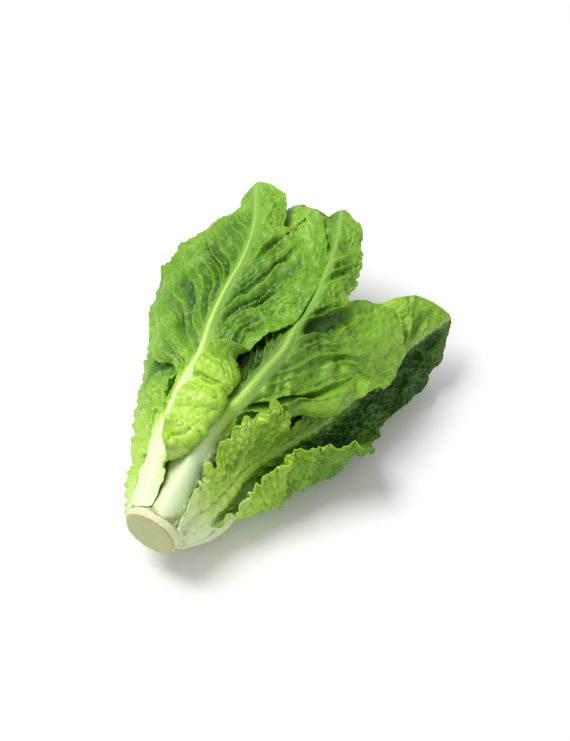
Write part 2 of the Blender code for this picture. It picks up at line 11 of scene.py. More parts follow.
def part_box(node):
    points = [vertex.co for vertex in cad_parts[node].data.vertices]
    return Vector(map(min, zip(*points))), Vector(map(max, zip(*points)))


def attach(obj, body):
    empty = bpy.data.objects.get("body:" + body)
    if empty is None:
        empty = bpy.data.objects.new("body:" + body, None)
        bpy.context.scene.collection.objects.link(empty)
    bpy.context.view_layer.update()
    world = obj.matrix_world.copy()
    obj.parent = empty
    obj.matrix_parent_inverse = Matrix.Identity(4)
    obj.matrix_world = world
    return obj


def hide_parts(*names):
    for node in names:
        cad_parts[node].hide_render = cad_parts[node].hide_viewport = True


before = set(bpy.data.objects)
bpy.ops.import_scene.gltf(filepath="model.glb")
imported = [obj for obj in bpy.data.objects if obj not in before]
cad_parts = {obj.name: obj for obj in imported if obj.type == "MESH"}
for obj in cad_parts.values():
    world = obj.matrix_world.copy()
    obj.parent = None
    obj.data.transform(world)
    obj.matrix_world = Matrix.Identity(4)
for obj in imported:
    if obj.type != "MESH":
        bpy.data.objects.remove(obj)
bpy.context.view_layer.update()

mm = 0.001
headLength = 280  # from the cut to the tips, in millimetres
cutPlace = -4.0  # the cut's place along the head
stemLow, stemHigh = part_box("stem")
headOrigin = np.array([stemLow[0] - cutPlace * mm, (stemLow[1] + stemHigh[1]) / 2,
                       (stemLow[2] + stemHigh[2]) / 2])
axisHeight = headOrigin[2] / mm

# turn and rise in degrees, lens and sensor in millimetres, the rest in metres from the middle of the cut
view = {"azimuth": -60, "elevation": 52, "lens": 90.2, "sensor": 36, "distance": 1.3,
        "target": (0.1495, -0.016, 0.018)}


def viewAxes():
    azimuth, elevation = math.radians(view["azimuth"]), math.radians(view["elevation"])
    back = Vector((math.sin(azimuth) * math.cos(elevation), -math.cos(azimuth) * math.cos(elevation),
                   math.sin(elevation)))
    right = Vector((math.cos(azimuth), math.sin(azimuth), 0))
    return right, back.cross(right), back


def placeFacing(name, data, place, towards):
    obj = bpy.data.objects.new(name, data)
    bpy.context.scene.collection.objects.link(obj)
    obj.location = place
    obj.rotation_euler = (towards - place).to_track_quat("-Z", "Y").to_euler()
    return obj


right, up, back = viewAxes()
target = Vector(headOrigin) + Vector(view["target"])
cameraData = bpy.data.cameras.new("camera")
cameraData.sensor_width = view["sensor"]
cameraData.lens = view["lens"]
camera = placeFacing("camera", cameraData, target + back * view["distance"], target)
bpy.context.scene.camera = camera
print("camera placed")

# the leaves' shapes, in millimetres and degrees; stemLine is (place along the head, radius)
stemLine = np.array([(-4, 18.4), (-3.2, 19.2), (-1.5, 19.4), (2.5, 18.6), (6.5, 16.6), (11, 14.2), (18, 12.6),
                     (30, 11), (50, 8), (70, 5), (90, 2), (92, 0)], float).T
# every rib, from base to tip: (share, half width), (share, how far it stands up), (share, how it rounds off)
ribs = {
    "halfWidth": [(0.0, 7.5), (0.06, 9.0), (0.14, 9.0), (0.27, 7.2), (0.42, 5.4), (0.6, 3.8), (0.75, 2.6),
                  (0.9, 1.7), (1.0, 1.0)],
    "raise": [(0.0, 1.0), (0.06, 3.0), (0.4, 3.0), (0.65, 1.8), (0.85, 0.8), (1.0, 0.0)],
    "rounding": [(0.0, 0.24), (0.15, 0.15), (0.4, 0.08), (1.0, 0.02)],
    "tipShare": 0.1, "tipBluntness": 0.25, "crestPower": 1.2,
}
blades = {"thickness": 0.9, "narrowest": 0.5, "roll": (0.4, 0.8), "bendSteps": 24, "rufflePower": 1.6,
          "sidePhase": 2.0}
laying = {"gap": 1.4, "feel": 5.0, "smoothing": 5, "rounds": 30, "clearingStep": 0.6, "clearingReach": 11.0,
          "foldReach": 12.0, "thinnest": 0.7, "thickest": 8.0, "thinning": 0.85, "stemRoom": 1.0,
          "reachOfRays": 160.0, "rayStep": 0.05}

# rib: points on a leaf's outer face from the middle of the cut; facing: (share, turn of that face from
# straight up); left and right: (share, width, lean, bend, roll, sweep) of each blade
outerLeaves = {
    "outer_leaf_1": {
        "rib": [(2, 12.5, 16), (14, 18, 19), (28, 22.6, 22), (65, 30, 30), (93, 34, 38), (118, 34, 45),
                (142, 40, 48), (171, 45, 50), (200, 48, 52), (231, 57, 52), (258, 71, 51), (272, 79, 47)],
        "facing": [(0, 40), (0.3, 42), (0.5, 30), (0.75, 20), (1, 30)],
        "left": [(0, 3, -28, -15, 0, 0.1), (0.12, 12, -16, -18, 0, 0.2), (0.22, 19, -8, -16, 0, 0.25),
                 (0.3, 22, -8, -16, 0, 0.35), (0.34, 26, -8, -18, 0, 0.45), (0.375, 50, -6, -16, 0, 0.5),
                 (0.43, 64, -4, -14, 0, 0.55), (0.51, 68, -4, -12, 0, 0.62), (0.58, 71, -5, -12, 0, 0.7),
                 (0.65, 66, -5, -12, 0, 0.8), (0.71, 57, -6, -12, 0, 0.87), (0.77, 50, -6, -12, 0, 0.88),
                 (0.82, 37, -8, -14, 0, 0.8), (0.87, 22, -9, -14, 0, 0.6), (0.91, 16, -10, -14, 0, 0.5),
                 (0.95, 17, -10, -10, 0, 0.2), (1, 15, -10, -10, 0, 0)],
        "right": [(0, 1, -10, -15, 0, 0.1), (0.085, 5, 4, 0, 0, 0.1), (0.115, 15, 0, 0, 50, 0.1),
                  (0.145, 34, -4, 0, 115, 0.12), (0.19, 54, -12, 0, 148, 0.15), (0.25, 67, -18, 0, 158, 0.2),
                  (0.315, 70, -20, 0, 160, 0.2), (0.365, 62, -20, 0, 150, 0.25), (0.39, 44, -18, 0, 90, 0.25),
                  (0.41, 32, -14, -6, 10, 0.28), (0.435, 38, -14, -6, 0, 0.3), (0.5, 49, -16, -6, 0, 0.33),
                  (0.6, 52, -16, -8, 0, 0.45), (0.66, 50, -15, -9, 0, 0.55), (0.7, 44, -14, -10, 0, 0.7),
                  (0.735, 34, -10, -12, 0, 1.0), (0.765, 16, -12, -10, 0, 0.7), (0.85, 14, -12, -10, 0, 0.4),
                  (0.93, 14, -10, -10, 0, 0.2), (1, 14, -10, 0, 0, 0)],
        "rightRoll": (0.42, 0.7),
        "ruffle": [(0, 0), (0.15, 1), (0.25, 2), (0.4, 2), (0.5, 3), (0.7, 3), (0.9, 1), (1, 0)],
        "waves": 6.5, "phase": 0.4, "ribScale": 0.85,
        "rows": [0, 0.055, 0.1, 0.14, 0.18, 0.23, 0.28, 0.325, 0.357, 0.38, 0.405, 0.44, 0.485, 0.54, 0.6,
                 0.66, 0.71, 0.74, 0.77, 0.82, 0.87, 0.92, 0.965, 1],
    },
    "outer_leaf_2": {
        "rib": [(2, -7.5, 17), (18, -6.5, 23.5), (33, -5.5, 28.5), (63, -4, 39), (81, -10, 47),
                (100, -16, 53), (120, -19, 57), (137, -21, 58), (162, -18, 60), (188, -17, 62),
                (210, -13, 62), (240, -5, 60), (267, 5, 57), (274, 8, 54)],
        "facing": [(0, -18), (0.2, -12), (0.45, -10), (0.7, -8), (1, 8)],
        "left": [(0, 1, -45, -15, 0, 0.1), (0.1, 4, -45, -20, 0, 0.1), (0.2, 20, -40, -16, 0, 0.3),
                 (0.3, 34, -40, -12, 0, 0.4), (0.5, 46, -40, 0, 0, 0.6), (0.65, 38, -34, -6, 0, 0.6),
                 (0.8, 24, -18, -15, 0, 0.5), (0.9, 19, -10, -16, 0, 0.3), (1, 14, -10, 0, 0, 0)],
        "right": [(0, 4, -28, -15, 0, 0.1), (0.12, 12, -50, -20, 0, 0.1), (0.24, 18, -62, -10, 0, 0.2),
                  (0.3, 20, -56, -10, 0, 0.3), (0.335, 36, -30, -20, 0, 0.7), (0.38, 62, -16, -22, 0, 0.72),
                  (0.44, 79, -14, -24, 0, 0.73), (0.52, 67, -14, -26, 0, 0.97), (0.58, 54, -16, -24, 0, 1.15),
                  (0.62, 34, -16, -24, 0, 1.2), (0.66, 20, -20, -14, 0, 0.9), (0.73, 26, -20, -18, 0, 0.8),
                  (0.8, 22, -18, -18, 0, 0.6), (0.88, 17, -14, -16, 0, 0.3), (1, 12, -10, 0, 0, 0)],
        "ruffle": [(0, 0), (0.15, 0), (0.3, 1), (0.4, 3), (0.7, 2), (0.9, 1), (1, 0)],
        "waves": 7, "phase": 2.1, "ribScale": 1.2,
        "rows": [0, 0.05, 0.1, 0.16, 0.22, 0.27, 0.3, 0.318, 0.34, 0.38, 0.43, 0.48, 0.53, 0.57, 0.605, 0.635,
                 0.67, 0.72, 0.78, 0.85, 0.92, 0.965, 1],
    },
    "outer_leaf_3": {
        "rib": [(2, -19, 3), (30, -28, -2.5), (46, -31, -2), (72, -34, 1), (99, -45, 3), (128, -57, 4),
                (171, -68, 7), (214, -78, 8), (237, -84, 8), (260, -91, 5)],
        "facing": [(0, -84), (0.3, -80), (0.6, -66), (1, -60)],
        "left": [(0, 4, -28, -15, 0, 0.1), (0.1, 15, -10, -45, 0, 0.1), (0.15, 20, 0, -55, 0, 0.1),
                 (0.2, 24, 6, -58, 0, 0.2), (0.25, 29, 10, -58, 0, 0.3), (0.29, 34, 12, -54, 0, 0.3),
                 (0.33, 37, 14, -48, 0, 0.3), (0.365, 28, 12, -40, 0, 0.2), (0.39, 10, -10, -30, 0, 0.2),
                 (0.43, 6, -24, -30, 0, 0.3), (0.47, 14, -32, -30, 0, 0.5), (0.54, 32, -32, -30, 0, 0.6),
                 (0.7, 40, -22, -24, 0, 0.7), (0.86, 30, -16, -24, 0, 0.4), (1, 16, -10, 0, 0, 0)],
        "right": [(0, 1, -28, -15, 0, 0.1), (0.09, 2, -28, -10, 0, 0.1), (0.125, 13, -6, 0, 90, 0.15),
                  (0.16, 34, 12, 0, 145, 0.2), (0.22, 54, 18, 0, 157, 0.2), (0.3, 64, 18, 0, 160, 0.3),
                  (0.38, 67, 14, -6, 154, 0.35), (0.44, 61, 4, -8, 130, 0.4), (0.5, 46, -16, -6, 95, 0.45),
                  (0.56, 40, -32, 0, 75, 0.5), (0.7, 40, -42, 0, 75, 0.6), (0.85, 32, -38, 0, 60, 0.4),
                  (1, 14, -20, 0, 20, 0)],
        "rightRoll": (0.27, 0.57),
        "ruffle": [(0, 0), (0.15, 1), (0.3, 2), (0.4, 1.5), (0.55, 2.5), (0.7, 2.5), (0.9, 1), (1, 0)],
        "waves": 7, "phase": 4.0,
        "over": "outer_leaf_2", "overShare": 0.38, "ribScale": 0.75,
        "rows": [0, 0.05, 0.09, 0.125, 0.16, 0.2, 0.25, 0.3, 0.34, 0.365, 0.39, 0.41, 0.435, 0.475, 0.53,
                 0.59, 0.66, 0.73, 0.8, 0.87, 0.93, 0.97, 1],
    },
    "outer_leaf_4": {
        "rib": [(2, -19, -12), (16, -30, -19), (28, -38, -23), (44, -44, -26), (66, -49, -29), (95, -55, -32),
                (130, -62, -34), (180, -72, -36), (236, -80, -35)],
        "facing": [(0, -122), (0.2, -124), (0.5, -132), (1, -145)],
        "left": [(0, 1, -28, -15, 0, 0.1), (0.12, 6, -14, -10, 0, 0.1), (0.3, 14, -4, -10, 0, 0.2),
                 (0.5, 18, 0, -10, 0, 0.3), (0.75, 20, 0, -10, 0, 0.4), (0.9, 18, 0, -10, 0, 0.3),
                 (1, 12, 0, 0, 0, 0)],
        "right": [(0, 1, -28, -15, 0, 0.1), (0.2, 16, -22, -24, 0, 0.2), (0.45, 38, -14, -20, 0, 0.4),
                  (0.7, 40, -10, -20, 0, 0.5), (0.88, 28, -8, -16, 0, 0.4), (1, 12, -10, 0, 0, 0)],
        "ruffle": [(0, 0), (0.2, 0.5), (0.4, 1.5), (0.7, 1.5), (1, 0)],
        "waves": 7, "phase": 1.0,
    },
    "outer_leaf_5": {
        "rib": [(2, 20, -3), (14, 30, -5), (24, 37, -6), (46, 48, -8), (70, 60, -10), (94, 73, -13),
                (130, 86, -16), (165, 95, -19), (200, 102, -22), (236, 107, -24)],
        "facing": [(0, 102), (0.4, 98), (1, 90)],
        "left": [(0, 3, -28, -15, 0, 0.1), (0.2, 14, -20, -16, 0, 0.2), (0.4, 24, -4, 0, 0, 0.3),
                 (0.6, 26, 4, 10, 0, 0.4), (0.8, 24, 4, 10, 0, 0.4), (1, 12, 0, 0, 0, 0)],
        "right": [(0, 3, -28, -15, 0, 0.1), (0.1, 12, -14, -10, 0, 0.1), (0.22, 26, 0, 0, 30, 0.2),
                  (0.36, 30, 0, 0, 30, 0.3), (0.45, 26, -10, -10, 0, 0.4), (0.58, 38, -18, -20, 0, 0.5),
                  (0.75, 40, -18, -20, 0, 0.5), (0.88, 30, -14, -16, 0, 0.4), (1, 14, 0, 0, 0, 0)],
        "rightRoll": (0.2, 0.6),
        "ruffle": [(0, 0), (0.15, 1), (0.4, 2), (0.7, 2), (1, 0)],
        "waves": 6.5, "phase": 3.0,
    },
    "outer_leaf_6": {
        "rib": [(2, 3.5, -19), (25, 5, -30), (60, 8, -39), (110, 12, -43), (170, 18, -44), (225, 25, -43),
                (256, 30, -39)],
        "facing": [(0, 170), (1, 172)],
        "left": [(0, 3, -28, -15, 0, 0.1), (0.2, 14, -22, -16, 0, 0.2), (0.45, 36, -10, -12, 0, 0.4),
                 (0.7, 40, -8, -12, 0, 0.5), (0.88, 28, -6, -6, 0, 0.4), (1, 14, -6, 0, 0, 0)],
        "right": [(0, 3, -28, -15, 0, 0.1), (0.2, 16, -22, -16, 0, 0.2), (0.45, 42, -8, -8, 0, 0.4),
                  (0.7, 46, -6, -6, 0, 0.5), (0.88, 30, -6, -6, 0, 0.4), (1, 14, -6, 0, 0, 0)],
        "ruffle": [(0, 0), (0.15, 0.5), (0.4, 1.5), (0.7, 1.5), (1, 0)],
        "waves": 6, "phase": 5.0,
    },
}
plainRows = [0, 0.05, 0.11, 0.18, 0.26, 0.34, 0.42, 0.5, 0.58, 0.66, 0.74, 0.81, 0.87, 0.92, 0.965, 1]
bladeColumns = np.array([0.2, 0.36, 0.46, 0.56, 0.67, 0.83, 1.0])
coarseColumns = np.concatenate([-1 - bladeColumns[::-1], (-1.0, -0.5, 0.0, 0.5, 1.0), 1 + bladeColumns])
frontLeaves = ("outer_leaf_1", "outer_leaf_2", "outer_leaf_3")

# the leaves inside stand in rings round the stem: share is how much of the room within the leaves round them
# they fill, spread how far a blade turns round the head, tone how dark they are beside the outer leaves
whorls = {
    "second_leaf": {"angles": (33, -58, -142, 118), "start": 32, "lengths": (269, 200, 236, 232),
                    "share": 0.9, "spreads": (40, 42, 50, 50), "ribScale": 0.7, "tone": 1.0},
    "inner_leaf": {"angles": (-18, 74, 170, -98), "start": 50, "lengths": (196, 190, 186, 180),
                   "share": 0.66, "spreads": (58, 56, 56, 50), "ribScale": 0.55, "tone": 0.75},
    "heart_leaf": {"angles": (30, 150, -90), "start": 68, "lengths": (150, 142, 134),
                   "share": 0.40, "spreads": (70, 70, 70), "ribScale": 0.5, "tone": 0.45},
}
whorlRoom = {"pinwheel": 0.075, "stepX": 8.0, "stepAngle": 10.0, "widest": 70.0, "sweep": 0.12, "ragged": 40,
             "opening": [(0, 0.25), (0.25, 0.45), (0.5, 0.95), (0.75, 1.0), (1, 0.6)]}
innerRows = [0, 0.07, 0.15, 0.25, 0.36, 0.48, 0.6, 0.71, 0.81, 0.89, 0.95, 1]
innerColumns = (-2.0, -1.65, -1.3, -1.0, 0.0, 1.0, 1.3, 1.65, 2.0)
noiseTable = {"size": 64, "cellMargin": 0.1, "cellSpread": 0.8}


def smoothStep(x):
    x = np.clip(x, 0.0, 1.0)
    return x * x * (3.0 - 2.0 * x)


def along(stations, u):
    # smooth curve through rows of (u, value, ...), read at every u
    table = np.array(stations, float)
    knots, values = table[:, 0], table[:, 1:]
    spans = np.diff(knots)[:, None]
    secants = np.diff(values, axis=0) / spans
    slopes = np.zeros_like(values)
    slopes[0], slopes[-1] = secants[0], secants[-1]
    slopes[1:-1] = (secants[:-1] * spans[1:] + secants[1:] * spans[:-1]) / (spans[1:] + spans[:-1])
    u = np.clip(u, knots[0], knots[-1])
    i = np.clip(np.searchsorted(knots, u, side="right") - 1, 0, len(knots) - 2)
    h = (knots[i + 1] - knots[i])[..., None]
    x = (u - knots[i])[..., None] / h
    return (values[i] * (1 + 2 * x) * (1 - x) ** 2 + slopes[i] * h * x * (1 - x) ** 2
            + values[i + 1] * x * x * (3 - 2 * x) + slopes[i + 1] * h * x * x * (x - 1))


def unit(v):
    return v / np.maximum(np.linalg.norm(v, axis=-1, keepdims=True), 1e-9)


def noise(x, y, seed):
    # soft bumps one unit apart, -1 to 1
    size = noiseTable["size"]
    table = np.random.default_rng(seed).uniform(-1, 1, (size, size))
    i, j = np.floor(x).astype(int), np.floor(y).astype(int)
    a, b = smoothStep(x - i), smoothStep(y - j)
    i0, j0, i1, j1 = i % size, j % size, (i + 1) % size, (j + 1) % size
    return ((table[i0, j0] * (1 - a) + table[i1, j0] * a) * (1 - b)
            + (table[i0, j1] * (1 - a) + table[i1, j1] * a) * b)


def noiseLayers(x, y, seed, layers):
    # each layer is (size in x, size in y, height, step of the seed)
    return sum(height * noise(x / wide, y / long, seed + step) for wide, long, height, step in layers)


def cells(x, y, seed):
    # distances to the nearest and next cell centre, and a number of the nearest's own
    size, margin, spread = noiseTable["size"], noiseTable["cellMargin"], noiseTable["cellSpread"]
    table = np.random.default_rng(seed).random((size, size, 3))
    i, j = np.floor(x).astype(int), np.floor(y).astype(int)
    far = 9.0  # further than any neighbouring cell
    nearest, following, own = np.full(x.shape, far), np.full(x.shape, far), np.zeros(x.shape)
    for di in (-1, 0, 1):
        for dj in (-1, 0, 1):
            centre = table[(i + di) % size, (j + dj) % size]
            away = np.hypot(i + di + margin + spread * centre[..., 0] - x,
                            j + dj + margin + spread * centre[..., 1] - y)
            following = np.where(away < nearest, nearest, np.minimum(following, away))
            own = np.where(away < nearest, centre[..., 2], own)
            nearest = np.minimum(nearest, away)
    return nearest, following, own


def ribByLength(points):
    points = np.array(points, float)
    run = np.concatenate([[0.0], np.cumsum(np.linalg.norm(np.diff(points, axis=0), axis=1))])
    return np.column_stack([run / run[-1], points]), run[-1]


def tipRounding(u, share):
    intoTip = np.clip((u - 1 + share) / share, 0, 1)
    return np.maximum(np.sqrt(np.clip(1 - intoTip ** 2, 0, 1)), ribs["tipBluntness"])


def onSides(rows, u, isRight):
    # the left and the right blade's rows, each read on its own side
    return np.where(isRight[..., None], along(rows["right"], u), along(rows["left"], u))


def leafSurface(leaf, u, v, jag=0.0):
    # outer face at base-to-tip share u and place v, rib edges at -1 and 1 and margins at -2 and 2
    side = np.where(v < 0, -1.0, 1.0)
    isRight = v > 0
    across = np.clip(np.abs(v), 0, 1)
    t = np.clip(np.abs(v) - 1, 0, 1)
    width, lean, bend, roll, sweep = np.moveaxis(onSides(leaf, u, isRight), -1, 0)
    rightRoll = leaf.get("rightRoll", blades["roll"])
    start, stop = (np.where(isRight, rightRoll[end], blades["roll"][end]) for end in (0, 1))
    rounding = tipRounding(u, ribs["tipShare"])
    width = np.maximum((width + jag * smoothStep(t)) * rounding, blades["narrowest"])

    rib, length = ribByLength(leaf["rib"])
    swept = np.clip(u + sweep * width * t / length, 0, 1)
    centre = along(rib, swept)
    tangent = unit(along(rib, np.clip(swept, 0, 0.99) + 0.01) - along(rib, np.clip(swept, 0.01, 1) - 0.01))
    facing = np.radians(along(leaf["facing"], swept)[..., 0])
    normal = np.stack([np.zeros_like(facing), np.sin(facing), np.cos(facing)], -1)
    normal = unit(normal - (normal * tangent).sum(-1, keepdims=True) * tangent)
    sideways = np.cross(tangent, normal)

    out, rise = np.zeros_like(t), np.zeros_like(t)
    steps = blades["bendSteps"]
    for k in range(steps):
        s = t * (k + 0.5) / steps
        angle = np.radians(lean + bend * s + roll * smoothStep((s - start) / (stop - start)))
        out += np.cos(angle) * t / steps
        rise += np.sin(angle) * t / steps
    edge = np.radians(lean + bend * t + roll * smoothStep((t - start) / (stop - start)))
    wave = np.sin(2 * math.pi * leaf["waves"] * u + leaf["phase"] + blades["sidePhase"] * side)
    lift = along(leaf["ruffle"], u)[..., 0] * t ** blades["rufflePower"] * wave * rounding

    scale = leaf.get("ribScale", 1.0)
    half = along(ribs["halfWidth"], u)[..., 0] * scale * rounding
    crest = along(ribs["raise"], u)[..., 0] * scale
    raised = crest * (1 - across ** 2) ** ribs["crestPower"]
    x = side * (half * across + width * out - lift * np.sin(edge))
    z = (width * rise + lift * np.cos(edge) + raised - crest
         - along(ribs["rounding"], u)[..., 0] * half * across ** 2)
    points = centre + sideways * x[..., None] + normal * z[..., None]
    flat = {"across": side * (half * across + width * t), "along": swept * length, "fromRib": width * t,
            "t": t, "length": length, "isRight": isRight, "width": width, "rounding": rounding,
            "edge": across}
    return points, blades["thickness"] + raised, flat


def firstHit(tree, x, angle, last=False):
    way = Vector((0, math.sin(angle), math.cos(angle)))
    travelled, found = 0.0, None
    while travelled < laying["reachOfRays"]:
        place, _, _, distance = tree.ray_cast(Vector((x, 0, 0)) + way * travelled, way)
        if place is None:
            break
        travelled += distance + laying["rayStep"]
        found = travelled
        if not last:
            break
    return found


def meanOfNeighbours(field, **padding):
    edge = np.pad(field, ((1, 1), (1, 1)) + ((0, 0),) * (field.ndim - 2), **padding)
    return (edge[:-2, 1:-1] + edge[2:, 1:-1] + edge[1:-1, :-2] + edge[1:-1, 2:]) / 4


def spreadOut(field):
    for _ in range(laying["smoothing"]):
        field = np.maximum(field, meanOfNeighbours(field, mode="edge"))
    return field


def moveOut(points, distance):
    radius = np.hypot(points[..., 1], points[..., 2])
    moved = points.copy()
    moved[..., 1:] *= (np.maximum(radius + distance, 1.0) / np.maximum(radius, 1e-6))[..., None]
    return moved


def lay(leaf, points, thickness, liesOver, laid):
    # slips a leaf inside the leaves laid before it, or where it lies over one, outside that one
    rows, columns, _ = points.shape
    inwards, outwards = np.zeros((rows, columns)), np.zeros((rows, columns))
    radius = np.hypot(points[..., 1], points[..., 2])
    angles = np.arctan2(points[..., 1], points[..., 2])
    feel, gap = laying["feel"], laying["gap"]
    for i in range(rows):
        for j in range(columns):
            x, reach, angle = points[i, j, 0], radius[i, j], angles[i, j]
            for dx, da in ((0, 0), (feel, 0), (-feel, 0), (0, feel / reach), (0, -feel / reach)):
                for name, tree in laid.items():
                    if liesOver[i, j] and name == leaf["over"]:
                        hit = firstHit(tree, x + dx, angle + da, last=True)
                        if hit is not None:
                            outwards[i, j] = max(outwards[i, j], hit + thickness[i, j] + gap - reach)
                    elif not liesOver[i, j]:
                        hit = firstHit(tree, x + dx, angle + da)
                        if hit is not None:
                            inwards[i, j] = max(inwards[i, j], reach + gap - hit)
    return moveOut(points, spreadOut(outwards) - spreadOut(inwards))


def settle(points, thickness):
    # out of the stem and up off the floor
    stem = np.interp(points[..., 0], *stemLine, right=0) + thickness + laying["stemRoom"]
    points = moveOut(points, np.maximum(stem - np.hypot(points[..., 1], points[..., 2]), 0))
    below = np.minimum(points[..., 2], -1e-6)
    radius = np.hypot(points[..., 1], points[..., 2])
    return moveOut(points, np.minimum(radius * (-axisHeight / below - 1), 0))


def gridMesh(name, points, thickness):
    # a grid bent to its points, in head millimetres, with its thickness as a vertex weight
    rows, columns, _ = points.shape
    shape = bmesh.new()
    bmesh.ops.create_grid(shape, x_segments=rows - 1, y_segments=columns - 1, size=1)
    layer = shape.verts.layers.deform.verify()
    order = []
    for vertex in shape.verts:
        i = round((vertex.co.x + 1) / 2 * (rows - 1))
        j = round((vertex.co.y + 1) / 2 * (columns - 1))
        order.append((i, j))
        vertex[layer][0] = thickness[i, j] / laying["thickest"]
    mesh = bpy.data.meshes.new(name)
    shape.to_mesh(mesh)
    shape.free()
    order = np.array(order)
    mesh.vertices.foreach_set("co", points[order[:, 0], order[:, 1]].ravel())
    mesh.update()
    return mesh, order


def wallObject(name, mesh):
    obj = bpy.data.objects.new(name, mesh)
    obj.vertex_groups.new(name="thickness")
    bpy.context.scene.collection.objects.link(obj)
    wall = obj.modifiers.new("wall", "SOLIDIFY")
    wall.offset = 1
    wall.vertex_group = "thickness"
    return obj, wall


def solidTree(obj):
    evaluated = obj.evaluated_get(bpy.context.evaluated_depsgraph_get())
    mesh = evaluated.to_mesh()
    places = [v.co.copy() for v in mesh.vertices]
    faces = [tuple(p.vertices) for p in mesh.polygons]
    tree = BVHTree.FromPolygons(places, faces)
    middles = np.array([sum((places[k] for k in face), Vector()) / len(face) for face in faces])
    evaluated.to_mesh_clear()
    return tree, middles, faces


def clearOfOthers(name, points, thickness, outward, laid):
    # the same clearing that the solid leaves had, on the same coarse grid
    mesh, order = gridMesh(name, points, thickness)
    obj, wall = wallObject(name, mesh)
    wall.thickness = laying["thickest"]
    split = obj.modifiers.new("split", "TRIANGULATE")
    split.quad_method = "SHORTEST_DIAGONAL"
    obj.modifiers.move(1, 0)
    layer = obj.vertex_groups[0]
    for _ in range(laying["rounds"]):
        mesh.vertices.foreach_set("co", points[order[:, 0], order[:, 1]].ravel())
        for index, (i, j) in enumerate(order):
            layer.add([index], thickness[i, j] / laying["thickest"], "REPLACE")
        mesh.update()
        tree, middles, faces = solidTree(obj)
        touched = np.zeros(points.shape[:2], bool)
        for otherTree in laid.values():
            for face, _ in tree.overlap(otherTree):
                touched |= np.linalg.norm(points - middles[face], axis=-1) < laying["clearingReach"]
        folded = np.zeros(points.shape[:2], bool)
        for a, b in tree.overlap(tree):
            if a < b and not set(faces[a]) & set(faces[b]):
                folded |= np.linalg.norm(points - middles[a], axis=-1) < laying["foldReach"]
        mean = meanOfNeighbours(points, mode="reflect", reflect_type="odd")
        points = np.where(folded[..., None], points * 0.5 + mean * 0.5, points)
        thinner = np.maximum(thickness * laying["thinning"], laying["thinnest"])
        thickness = np.where(folded, thinner, thickness)
        if not (folded.any() or touched.any()):
            break
        out = spreadOut(laying["clearingStep"] * (touched & outward))
        inwards = spreadOut(laying["clearingStep"] * (touched & ~outward))
        points = settle(moveOut(points, out - inwards), thickness)
    laid[name] = tree
    bpy.data.objects.remove(obj)
    bpy.data.meshes.remove(mesh)
    return points


def onFineGrid(rows, columns, field, fineRows, fineColumns):
    # reads a coarse grid's moves smoothly on a finer grid
    deep = field.shape[-1]
    first = along(np.column_stack([rows, field.reshape(len(rows), -1)]), np.array(fineRows))
    first = first.reshape(len(fineRows), len(columns), deep).swapaxes(0, 1).reshape(len(columns), -1)
    both = along(np.column_stack([columns, first]), np.array(fineColumns))
    return both.reshape(len(fineColumns), len(fineRows), deep).swapaxes(0, 1)


def outwardNormals(points):
    downRows, acrossColumns = np.gradient(points, axis=0), np.gradient(points, axis=1)
    return unit(np.cross(acrossColumns, downRows))


# node helpers that both materials use
def nodeGroup(name, inputs, outputs):
    group = bpy.data.node_groups.new(name, "ShaderNodeTree")
    for label, kind, value in inputs:
        group.interface.new_socket(label, in_out="INPUT", socket_type=kind).default_value = value
    for label, kind in outputs:
        group.interface.new_socket(label, in_out="OUTPUT", socket_type=kind)
    return group, group.nodes.new("NodeGroupInput"), group.nodes.new("NodeGroupOutput")


def mathNode(nodes, links, operation, first, second):
    node = nodes.new("ShaderNodeMath")
    node.operation = operation
    for index, value in enumerate((first, second)):
        if isinstance(value, (int, float)):
            node.inputs[index].default_value = value
        else:
            links.new(value, node.inputs[index])
    return node.outputs[0]


def mixColour(nodes, links, factor, first, second):
    node = nodes.new("ShaderNodeMix")
    node.data_type = "RGBA"
    for socket, value in ((node.inputs[0], factor), (node.inputs[6], first), (node.inputs[7], second)):
        if isinstance(value, tuple):
            socket.default_value = value
        else:
            links.new(value, socket)
    return node.outputs[2]


def setInputs(node, values):
    for label, value in values.items():
        node.inputs[label].default_value = value


def textureNode(nodes, links, kind, place, values):
    node = nodes.new("ShaderNodeTex" + kind)
    setInputs(node, values)
    links.new(place, node.inputs["Vector"])
    return node


def attributeNode(nodes, name):
    node = nodes.new("ShaderNodeAttribute")
    node.attribute_name = name
    return node.outputs["Fac"]


def colourRamp(nodes, links, factor, stops):
    ramp = nodes.new("ShaderNodeValToRGB")
    while len(ramp.color_ramp.elements) < len(stops):
        ramp.color_ramp.elements.new(0.5)
    for element, (place, colour) in zip(ramp.color_ramp.elements, stops):
        element.position = place
        element.color = (*colour, 1)
    links.new(factor, ramp.inputs["Fac"])
    return ramp.outputs["Color"]


def newMaterial(name, values):
    material = bpy.data.materials.new(name)
    material.use_nodes = True
    shader = material.node_tree.nodes["Principled BSDF"]
    setInputs(shader, values)
    return material, shader


def bumpInto(nodes, links, shader, height, values):
    bump = nodes.new("ShaderNodeBump")
    setInputs(bump, values)
    links.new(height, bump.inputs["Height"])
    links.new(bump.outputs["Normal"], shader.inputs["Normal"])


